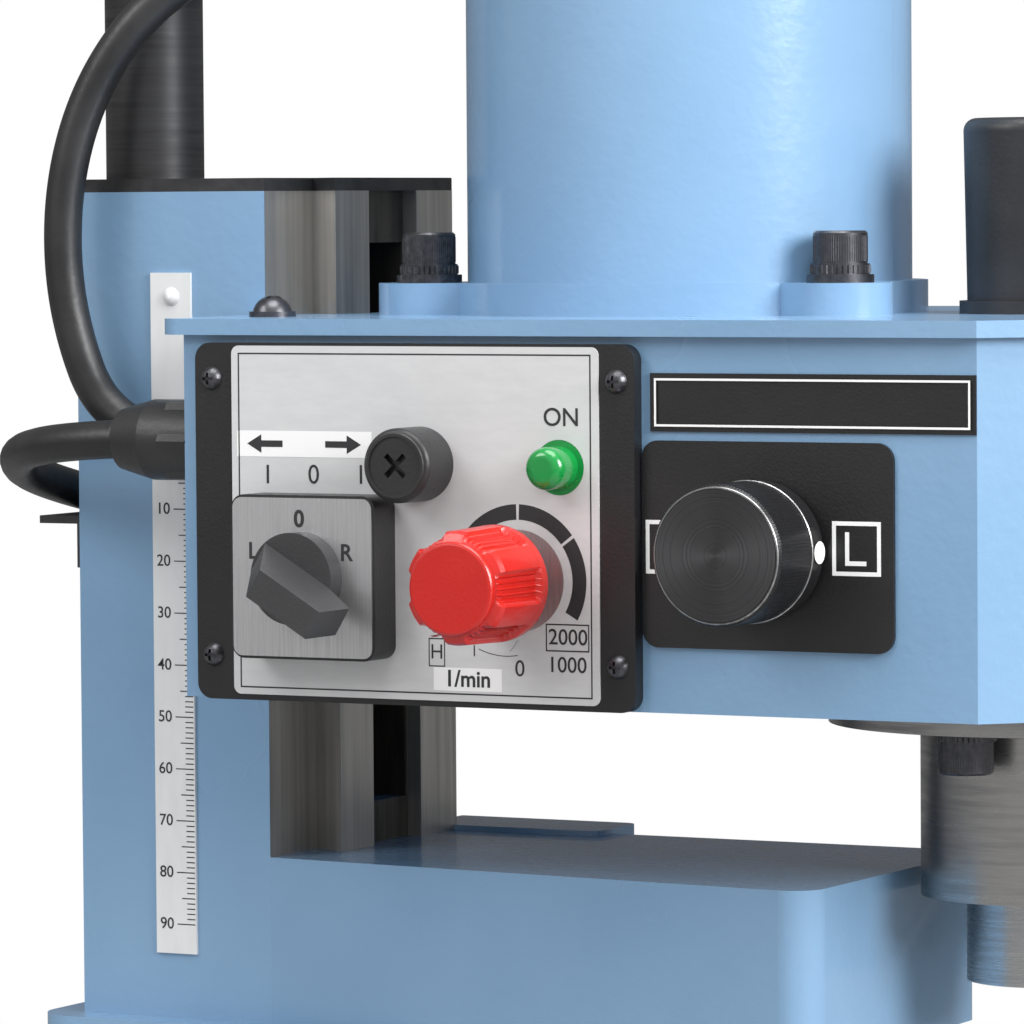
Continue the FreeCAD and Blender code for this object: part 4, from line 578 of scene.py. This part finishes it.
coil_tie = laid_piece("coil_tie", strap, moulded_black, "frame", Matrix.Translation((*coil_middle, 0)))
print("cord lengths", round(loop_length, 4), round(lead_length, 4))

# The motor lead is the same rubber cord. It leaves the head beside the mains lead, climbs past the column's
# corner and goes into the motor's side.
motor_route = [(-0.0877, -0.0448, 0.3056), (-0.1010, -0.0450, 0.3075), (-0.1090, -0.0465, 0.3290),
               (-0.1095, -0.0470, 0.3520), (-0.1040, -0.0445, 0.3730), (-0.0910, -0.0410, 0.3900),
               (-0.0730, -0.0260, 0.4015), (-0.0560, -0.0070, 0.4020), (-0.0387, 0.0000, 0.4002)]
motor_lead = cord_curve("motor_lead_cord", motor_route, cord_width / 2)
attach(motor_lead, "head")
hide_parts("motor_lead")
line_points(motor_lead)[1]
finish_nodes(moulded_black, "cable_glands", edge=0.0004)

# The head is an iron casting in the same blue, with the quill, gears and feed inside.
# A blue steel plate screws down over it under black domed screws.
finish_nodes(casting_enamel, "head_casting", edge=0.0009)
finish_nodes(casting_enamel, "top_plate", edge=0.0007)
finish_nodes(black_oxide, "top_plate_screws", edge=0.0002)
finish_nodes(planed_iron, "head_gib", edge=0.0002)

# The motor's can and lugged flange are one blue casting, and its end cap is the same blue.
# Black socket heads with straight knurls hold it down on split and flat washers.
finish_nodes(casting_enamel, "motor_can", edge=0.0012)
finish_nodes(casting_enamel, "motor_cap", edge=0.0005)
finish_nodes(black_oxide, "motor_bolts", "ring_bolts", edge=0.0002)


def way_round(out, turn):
    """The direction square to an axis at an angle round it."""
    side = out.orthogonal().normalized()
    return side * math.cos(turn) + out.cross(side) * math.sin(turn)


def knurl_ribs(name, middle, out, radius, start, length, count, depth, material, body):
    """Fine straight ribs round a screw head or knob, standing a little proud of it."""
    out = Vector(out)
    mesh = bmesh.new()
    for k in range(count):
        angle = 2 * math.pi * k / count
        half = math.pi / count * 0.62
        points = []
        for turn, reach in ((-half, radius - depth), (0.0, radius + depth), (half, radius - depth)):
            points.append(Vector(middle) + way_round(out, angle + turn) * reach)
        low = [mesh.verts.new(p + out * start) for p in points]
        high = [mesh.verts.new(p + out * (start + length)) for p in points]
        mesh.faces.new((low[0], low[1], high[1], high[0]))
        mesh.faces.new((low[1], low[2], high[2], high[1]))
        mesh.faces.new((low[2], low[1], low[0]))
        mesh.faces.new((high[0], high[1], high[2]))
    bmesh.ops.recalc_face_normals(mesh, faces=mesh.faces)
    laid_piece(name, mesh, material, body)


motor_middle_x, spindle_middle_x = ledge_x + 0.0715, ledge_x + 0.1436
motor_head_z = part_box("top_plate")[1][2] + 0.006 + 0.0035
ring_low_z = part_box("quill_ring")[0][2]
bolt_head_r, washer_r, knurl_length = 0.005, 0.0054, 0.0047
for group_name, middle_x, circle, bearings, height, out, knurl_start, washer_start, washer_height in (
        ("motor", motor_middle_x, 0.0495, (90, -30, -150), motor_head_z, near_up, 0.0004, -0.0018, 0.0015),
        ("ring", spindle_middle_x, 0.031, (-93.5, 26.5, 146.5), ring_low_z, -near_up, 0.0019, 0.0001,
         0.0013)):
    for number, bearing in enumerate(bearings):
        turn = math.radians(bearing)
        bolt_at = (middle_x + circle * math.cos(turn), circle * math.sin(turn), height)
        knurl_ribs(f"{group_name}_bolt_knurl_{number}", bolt_at, out, bolt_head_r, knurl_start, knurl_length,
                   72, 0.00005, black_oxide, "head")
        knurl_ribs(f"{group_name}_washer_ribs_{number}", bolt_at, out, washer_r, washer_start, washer_height,
                   34, 0.0002, black_oxide, "head")

# A black moulded cap with a fine pebbled skin covers the spindle's top and its drawbar.
finish_nodes(moulded_black, "spindle_cap", edge=0.0006)
finish_nodes(turned_steel, "drawbar", edge=0.0003)

# The quill is ground steel with the grinder's rings round it. It slides in the head through a turned ring.
ground_steel = dressed("ground quill steel", worked_metal, Bright=(0.44, 0.43, 0.42, 1),
                       Dull=(0.25, 0.245, 0.24, 1), Lay=(0.5, 0.5, 8.0), Line_Scale=130.0, Line_Height=0.1,
                       Polish=0.27, Roughness_Spread=0.15, metallic=1.0)
finish_nodes(ground_steel, "quill", "quill_ring", edge=0.0003)
finish_nodes(turned_steel, "spindle", "quill_bearings", "spindle_gear", "idler_gears", "motor_shaft",
             edge=0.0)
bronze = dressed("cast bronze", worked_metal, Bright=(0.55, 0.36, 0.16, 1), Dull=(0.33, 0.2, 0.09, 1),
                 Line_Scale=200.0, Line_Height=0.1, Polish=0.35, Roughness_Spread=0.2, metallic=1.0)
finish_nodes(bronze, "lift_nut", "feed_nuts", edge=0.0)

# The quill is fed by a steel shaft with a hub on the head's far side and three spokes with black grips.
finish_nodes(turned_steel, "feed_shaft", "feed_hub", edge=0.0003)
finish_nodes(polished_chrome, "feed_spokes", edge=0.0)
finish_nodes(moulded_black, "feed_grips", edge=0.0)

# The control panel is a satin black plastic plate on the head's near side, held by four cross-slot screws.
# A thin silver lacquered sheet on it is printed in black with the dial, the switch's marks and a frame line.
satin_black = dressed("satin black plate", rubber, Shade=(0.009, 0.009, 0.010, 1),
                      Dusty=(0.014, 0.014, 0.015, 1), Grain_Scale=1800.0, Sheen=0.3)
finish_nodes(satin_black, "control_panel", edge=0.0005)
finish_nodes(black_oxide, "panel_screws", edge=0.0002)
sheet_silver = dressed("silver lacquered sheet", worked_metal, Bright=(0.62, 0.625, 0.63, 1),
                       Dull=(0.57, 0.575, 0.585, 1), Lay=(0.3, 1, 1), Line_Scale=500.0, Line_Height=0.02,
                       Polish=0.34, Roughness_Spread=0.08, metallic=0.15)
finish_nodes(sheet_silver, "panel_sheet", edge=0.0)
sheet_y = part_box("panel_sheet")[0][1]
sheet_middle = (ledge_x, sheet_y, deck_z)


def on_sheet(across, up, lift=0.0):
    """A place on the printed sheet, from millimetres ahead of the ledge and above the deck."""
    return ledge_x + across / 1000, sheet_y - lift, deck_z + up / 1000


def arc_strip(inner, outer, start, end, inner_end=None, outer_end=None):
    """Quads of a flat arc between two radii in millimetres and two bearings in degrees."""
    inner_end, outer_end = inner_end or inner, outer_end or outer
    steps = max(2, int(abs(end - start) / 4))
    quads = []
    for k in range(steps):
        corners = []
        for at_step, first_in in ((k, True), (k, False), (k + 1, False), (k + 1, True)):
            share = at_step / steps
            turn = math.radians(start + (end - start) * share)
            near, far = (inner, inner_end) if first_in else (outer, outer_end)
            reach = (near + (far - near) * share) / 1000
            corners.append((reach * math.cos(turn), reach * math.sin(turn)))
        quads.append(corners)
    return quads


def frame_line(width, u0, u1, v0, v1):
    """Four thin bars round a rectangle, in millimetres."""
    return [bar(*[value / 1000 for value in bounds]) for bounds in (
        (u0, u1, v0, v0 + width), (u0, u1, v1 - width, v1), (u0, u0 + width, v0 + width, v1 - width),
        (u1 - width, u1, v0 + width, v1 - width))]


printed_shape("sheet_frame_line", frame_line(0.28, 13.6, 86.6, 35.5, 97.3), sheet_middle)
for mark_name, mark, across, up in (("left", "1", 19.8, 74.8), ("off", "0", 29.5, 74.9),
                                    ("right", "1", 39.4, 75.0)):
    lettering(f"switch_mark_{mark_name}", mark, 0.0050, on_sheet(across, up))
patch_white = printing_ink("printed white", (0.82, 0.82, 0.82, 1), 1200.0, 0.35, 0.55)
printed_shape("turning_patch", [bar(-0.0142, 0.0142, -0.0024, 0.0024)], on_sheet(27.5, 80.6), patch_white)
for side in (-1, 1):
    shaft = bar(*sorted((side * 0.0045, side * 0.0090)), -0.0006, 0.0006)
    tip = [(side * 0.0090, -0.0017), (side * 0.0120, 0.0), (side * 0.0090, 0.0017)]
    printed_shape(f"turning_arrow_{side}", [shaft, tip[::side]], on_sheet(27.5, 80.6, print_rise))
lettering("lamp_mark", "ON", 0.0046, on_sheet(80.6, 85.9), weight=0.00003)
lettering("dial_2000", "2000", 0.0040, on_sheet(81.7, 46.4), weight=0.00002)
printed_shape("dial_2000_box", frame_line(0.25, 77.2, 86.0, 43.9, 48.9), sheet_middle)
lettering("dial_1000", "1000", 0.0040, on_sheet(81.5, 41.4), weight=0.00002)
lettering("dial_zero", "0", 0.0042, on_sheet(71.9, 40.5))
lettering("range_letter", "H", 0.0038, on_sheet(54.9, 43.1))
printed_shape("range_letter_box", frame_line(0.22, 53.2, 56.6, 40.5, 45.7), sheet_middle)
printed_shape("unit_patch", [bar(-0.0070, 0.0070, -0.0021, 0.0021)], on_sheet(61.2, 38.3), patch_white)
lettering("dial_unit", "1/min", 0.0042, on_sheet(61.2, 38.3, print_rise), weight=0.00008)


def front_middle(node, front_y=None):
    """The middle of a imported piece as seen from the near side, at its front or at a given depth."""
    low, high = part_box(node)
    return (low[0] + high[0]) / 2, low[1] if front_y is None else front_y, (low[2] + high[2]) / 2


speed_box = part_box("speed_knob")
dial_middle = front_middle("speed_knob", sheet_y)
dial_arcs = []
for start, end in ((-30, 35), (37.5, 89), (91.5, 150), (153, 205)):
    dial_arcs += arc_strip(11.0, 13.8, start, end)
dial_arcs += arc_strip(14.9, 15.05, 237, 269, 13.45, 13.6) + arc_strip(12.9, 13.05, 262, 269, 10.75, 10.9)
printed_shape("dial_arcs", dial_arcs, dial_middle)
printed_shape("dial_start", [bar(-0.00013, 0.00013, -0.0010, 0.0010)], on_sheet(62.6, 43.6))
# The darker silver disc inside the dial's arcs is painted shadow of the speed knob on the sheet. The switch's
# face plate takes the same finish as its own colour.
brushed_silver_and_knob_shadow = dressed("brushed silver and painted knob shadow", worked_metal, Bright=(0.62, 0.62, 0.63, 1),
                         Dull=(0.45, 0.45, 0.46, 1), Lay=(9, 1, 0.25), Line_Scale=220.0, Line_Height=0.08,
                         Polish=0.3, Roughness_Spread=0.12, metallic=0.85)
printed_shape("dial_middle", arc_strip(3.4, 9.2, 0, 360), dial_middle, brushed_silver_and_knob_shadow)

# The turning switch is a black moulded body with a silver face plate, brushed and glued on, printed with its
# marks. Its bar handle is black plastic with a fine moulded grain, coloured dark grey as painted sheen.
finish_nodes(moulded_black, "switch_body", "speed_control", edge=0.0004)
black_with_painted_sheen = dressed("black plastic greyed as painted sheen", rubber, Shade=(0.034, 0.034, 0.036, 1),
                     Dusty=(0.05, 0.05, 0.052, 1), Grain_Scale=2200.0, Sheen=0.3)
finish_nodes(black_with_painted_sheen, "switch_knob", edge=0.0005)
switch_middle = front_middle("switch_body")
plate_mesh = bmesh.new()
plate_half, plate_corner, plate_thick = 0.0145, 0.0018, 0.00035
plate_outline = []
for corner_u, corner_v, first in ((1, 1, 0), (-1, 1, 90), (-1, -1, 180), (1, -1, 270)):
    for step in range(7):
        turn = math.radians(first + 15 * step)
        plate_outline.append((corner_u * (plate_half - plate_corner) + plate_corner * math.cos(turn),
                              corner_v * (plate_half - plate_corner) + plate_corner * math.sin(turn)))
plate_back = [plate_mesh.verts.new((u, 0, v)) for u, v in plate_outline]
plate_front = [plate_mesh.verts.new((u, -plate_thick, v)) for u, v in plate_outline]
plate_mesh.faces.new(plate_front)
join_rings(plate_mesh, [plate_back, plate_front])
bmesh.ops.recalc_face_normals(plate_mesh, faces=plate_mesh.faces)
laid_piece("switch_face_plate", plate_mesh, brushed_silver_and_knob_shadow, "head", Matrix.Translation(switch_middle))
switch_print_y = switch_middle[1] - plate_thick
for mark_name, mark, mark_across, mark_up, weight in (
        ("switch_off", "0", 0.0309, 0.0672, 0.00012), ("switch_right", "R", 0.0407, 0.0612, 0.00008),
        ("switch_left", "L", 0.0212, 0.0612, 0.00008)):
    lettering(mark_name, mark, 0.0043, (ledge_x + mark_across, switch_print_y, deck_z + mark_up), weight)

# The fuse holder is a black moulded cap with a crossed slot, a raised rim and a turned skirt.
# The lamp beside it is a clear green moulded lens over its bulb.
finish_nodes(moulded_black, "fuse_holder", edge=0.0003)


def turned_ring(name, middle, out, inner, outer, start, width, material, body):
    """A short turned ring about an axis, such as a worn edge or a raised rim."""
    out = Vector(out)
    mesh = bmesh.new()
    rings = []
    for k in range(72):
        way = way_round(out, 2 * math.pi * k / 72)
        rings.append([mesh.verts.new(Vector(middle) + way * reach + out * height) for reach, height in (
            (inner, start), (outer, start), (outer, start + width * 0.7),
            (outer - width * 0.3, start + width), (inner, start + width))])
    join_rings(mesh, rings, closed=True)
    bmesh.ops.recalc_face_normals(mesh, faces=mesh.faces)
    laid_piece(name, mesh, material, body)


turned_ring("fuse_rim", front_middle("fuse_holder"), near_out, 0.0053, 0.0060, -0.0003, 0.0006, moulded_black,
            "head")
lens_green = bpy.data.materials.new("clear green lens")
lens_green.use_nodes = True
lens_shader = lens_green.node_tree.nodes["Principled BSDF"]
lens_shader.inputs["Base Color"].default_value = (0.006, 0.30, 0.055, 1)
lens_shader.inputs["Transmission Weight"].default_value = 0.25
lens_shader.inputs["IOR"].default_value = 1.49
lens_shader.inputs["Coat Weight"].default_value = 0.5
lens_rings = add_node(lens_green.node_tree, "ShaderNodeTexNoise", None,
                      Vector=place_of(lens_green.node_tree, (1, 0.1, 1)), Scale=700.0, Detail=1.0)
lens_green.node_tree.links.new(spread(lens_green.node_tree, lens_rings.outputs["Fac"], 0.3, 0.7, 0.12, 0.3),
                               lens_shader.inputs["Roughness"])
finish_nodes(lens_green, "lamp_lens", edge=0.0003)

# The speed knob is moulded red plastic. Its round cap stands a little proud of a body with six broad lobes.
# Fine ribs fill the hollows between the lobes, and a round skirt closes them at the back.
red_plastic = dressed("moulded red plastic", rubber, Shade=(0.47, 0.010, 0.006, 1),
                      Dusty=(0.54, 0.018, 0.011, 1), Grain_Scale=1500.0, Sheen=0.22, coat=0.25)
knob_radius = (speed_box[1][0] - speed_box[0][0]) / 2
knob_front = speed_box[0][1]
knob_rise = sheet_y - knob_front
knob_back = knob_rise * 0.32


def knob_reach(turn, lobed):
    """The lobed body's radius at a bearing, with three ribs in each hollow."""
    share = (turn / (math.pi / 3)) % 1.0 - 0.5
    hollow = min(max((abs(share) - 0.2) / 0.1, 0.0), 1.0)
    ribs = 0.00035 * max(0.0, math.cos(2 * math.pi * (abs(share) - 0.5) * 9.0)) * hollow
    return knob_radius - lobed * (0.0013 * hollow - ribs)


knob_mesh = bmesh.new()
knob_profile = [(knob_back, 0.97, 0.0), (knob_back + 0.0004, 1.0, 0.0), (knob_back + 0.0022, 1.0, 0.0),
                (knob_back + 0.0028, 0.995, 1.0), (knob_rise - 0.0028, 0.965, 1.0),
                (knob_rise - 0.0018, 0.92, 0.9), (knob_rise - 0.0013, 0.82, 0.0),
                (knob_rise - 0.0012, 0.79, 0.0), (knob_rise - 0.0004, 0.79, 0.0),
                (knob_rise - 0.0001, 0.77, 0.0), (knob_rise, 0.73, 0.0)]
knob_sides = 216
knob_rings = []
for height, scale, lobed in knob_profile:
    ring = []
    for k in range(knob_sides):
        turn = 2 * math.pi * k / knob_sides
        reach = knob_reach(turn, lobed) * scale
        ring.append(knob_mesh.verts.new((reach * math.cos(turn), -height, reach * math.sin(turn))))
    knob_rings.append(ring)
join_rings(knob_mesh, knob_rings)
knob_mesh.faces.new(knob_rings[0][::-1])
knob_mesh.faces.new(knob_rings[-1])
shaft_rings = [[knob_mesh.verts.new((0.003 * math.cos(2 * math.pi * k / 24), -height,
                                     0.003 * math.sin(2 * math.pi * k / 24))) for k in range(24)]
               for height in (-0.004, knob_back + 0.0005)]
join_rings(knob_mesh, shaft_rings)
bmesh.ops.recalc_face_normals(knob_mesh, faces=knob_mesh.faces)
red_knob = laid_piece("speed_knob_lobed", knob_mesh, red_plastic, "speed_knob",
                      Matrix.Translation(dial_middle))
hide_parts("speed_knob")
pointer_turn = math.radians(238)
pointer_at = Vector(dial_middle) + Vector((math.cos(pointer_turn), 0, math.sin(pointer_turn))) * (
    knob_radius * 0.968) - Vector((0, knob_rise - 0.0042, 0))
printed_shape("speed_pointer", [bar(-0.0003, 0.0003, -0.0014, 0.0012)], pointer_at, patch_white, "speed_knob",
              across=Vector((-math.sin(pointer_turn), 0, math.cos(pointer_turn))),
              upward=Vector((0, -1, 0)))

# The gear selector has a black anodised plate with rounded corners, printed in white with its two range
# letters. Above it lies a bare black label strip with a white border line. Its knob is turned steel,
# blackened, with a straight knurl, a smooth rear flange and a face that shows the turning tool's rings.
finish_nodes(satin_black, "selector_plate", edge=0.0)
plate_face_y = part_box("selector_plate")[0][1]
range_face = (ledge_x, plate_face_y, deck_z)
printed_shape("low_range_box", frame_line(0.75, 132.8, 142.2, 58.6, 68.2), range_face, patch_white)
printed_shape("low_range_letter", [bar(0.1353, 0.1361, 0.0604, 0.0663), bar(0.1361, 0.1394, 0.0604, 0.0612)],
              range_face, patch_white)
printed_shape("high_range_box", frame_line(0.75, 96.2, 105.6, 58.2, 67.8), range_face, patch_white)
printed_shape("high_range_letter", [bar(0.0990, 0.0997, 0.0602, 0.0658), bar(0.1013, 0.1020, 0.0602, 0.0658),
                                    bar(0.0997, 0.1013, 0.0627, 0.0634)], range_face, patch_white)
printed_shape("label_border", frame_line(0.4, 98.0, 159.3, 84.5, 93.1), range_face, patch_white)
black_steel = dressed("blackened turned steel", worked_metal, Bright=(0.030, 0.030, 0.032, 1),
                      Dull=(0.018, 0.018, 0.019, 1), Line_Scale=600.0, Line_Height=0.03, Polish=0.3,
                      Roughness_Spread=0.12, metallic=0.6)
worn_edge = dressed("worn steel edge", worked_metal, Bright=(0.42, 0.42, 0.42, 1), Dull=(0.10, 0.10, 0.10, 1),
                    Line_Scale=500.0, Line_Height=0.05, Polish=0.3, Roughness_Spread=0.2, metallic=1.0)
finish_nodes(black_steel, "selector_knob", edge=0.0003)
selector_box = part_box("selector_knob")
selector_reach = (selector_box[1][0] - selector_box[0][0]) / 2
selector_front = front_middle("selector_knob")
knurl_ribs("selector_knurl", selector_front, near_out, selector_reach - 0.0001, -0.0128, 0.0122, 130, 0.00014,
           black_steel, "selector_knob")
turned_ring("selector_front_edge", selector_front, near_out, selector_reach - 0.0008, selector_reach - 0.0004,
            -0.0005, 0.0004, worn_edge, "selector_knob")
turned_ring("selector_flange_edge", selector_front, near_out, selector_reach - 0.0002,
            selector_reach + 0.0002, -0.0134, 0.0004, worn_edge, "selector_knob")
turned_face = bpy.data.materials.new("turned black face")
turned_face.use_nodes = True
face_tree = turned_face.node_tree
face_shader = face_tree.nodes["Principled BSDF"]
face_shader.inputs["Base Color"].default_value = (0.075, 0.075, 0.078, 1)
face_shader.inputs["Metallic"].default_value = 0.9
face_shader.inputs["Anisotropic"].default_value = 0.75
face_tree.links.new(add_node(face_tree, "ShaderNodeTangent", {"direction_type": "RADIAL", "axis": "Z"}
                             ).outputs["Tangent"], face_shader.inputs["Tangent"])
distance = add_node(face_tree, "ShaderNodeVectorMath", {"operation": "LENGTH"}, Vector=place_of(face_tree))
ring_noise = add_node(face_tree, "ShaderNodeTexNoise", {"noise_dimensions": "1D"},
                      W=distance.outputs["Value"], Scale=2600.0, Detail=3.0)
face_tree.links.new(spread(face_tree, ring_noise.outputs["Fac"], 0.3, 0.7, 0.26, 0.42),
                    face_shader.inputs["Roughness"])
face_bump = add_node(face_tree, "ShaderNodeBump", None, Strength=0.35, Distance=0.00005,
                     Height=ring_noise.outputs["Fac"])
face_tree.links.new(face_bump.outputs["Normal"], face_shader.inputs["Normal"])
disc_mesh = bmesh.new()
bmesh.ops.create_circle(disc_mesh, cap_ends=True, cap_tris=True, segments=96, radius=selector_reach - 0.0009)
laid_piece("selector_face", disc_mesh, turned_face, "selector_knob",
           Matrix.Translation(Vector(selector_front) + near_out * 0.00006) @ near_turn)
pointer_oval = [(0.0022 * math.cos(math.radians(15 * k)), 0.0020 * math.sin(math.radians(15 * k)))
                for k in range(24)]
printed_shape("selector_pointer", [pointer_oval],
              (selector_front[0] + selector_reach + 0.00012, selector_front[1] + 0.0159, selector_front[2]),
              patch_white, "selector_knob", across=Vector((0, 1, 0)), upward=Vector((0, 0, 1)))

# The saddle and table are iron castings whose ways and faces are planed and ground bright.
# Thin iron gibs take up the play, and iron end brackets hold the feed screws.
ground_iron = dressed("ground iron table", worked_metal, Bright=(0.40, 0.39, 0.375, 1),
                      Dull=(0.24, 0.235, 0.225, 1), Lay=(4.0, 0.3, 4.0), Line_Scale=160.0, Line_Height=0.12,
                      Polish=0.3, Roughness_Spread=0.2, metallic=1.0)
finish_nodes(ground_iron, "saddle", "table", edge=0.0006)
finish_nodes(planed_iron, "saddle_gib", "table_gib", edge=0.0002)
finish_nodes(casting_enamel, "saddle_bracket", "table_brackets", edge=0.0006)

# The feed screws, their handwheels and dials are turned from steel bar, and the cranks are black plastic.
# The dials are cut with fifty fine graduations, filled in black.
finish_nodes(turned_steel, "saddle_screw", "table_screw", "saddle_handwheel", "table_handwheel", edge=0.0004)
for feed_name, feed_start, feed_way, feed_body in (
        ("saddle", Vector((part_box("saddle_handwheel")[0][0], 0, 0.0)), Vector((1, 0, 0)), "saddle_screw"),
        ("table", Vector((spindle_middle_x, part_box("table_handwheel")[1][1], 0.0)), Vector((0, -1, 0)),
         "table_screw")):
    wheel_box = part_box(f"{feed_name}_handwheel")
    feed_start.z = (wheel_box[0][2] + wheel_box[1][2]) / 2
    if feed_name == "saddle":
        feed_start.y = (wheel_box[0][1] + wheel_box[1][1]) / 2
    marks = bmesh.new()
    for mark in range(50):
        way = way_round(feed_way, 2 * math.pi * mark / 50)
        edge_way = feed_way.cross(way) * 0.00015
        length = 0.0055 if mark % 5 == 0 else 0.0035
        start = feed_start + way * 0.01505
        marks.faces.new([marks.verts.new(start + feed_way * reach + edge_way * sign)
                         for reach, sign in ((0.0004, -1), (0.0004, 1), (length, 1), (length, -1))])
    laid_piece(f"{feed_name}_dial_marks", marks, print_black, feed_body)
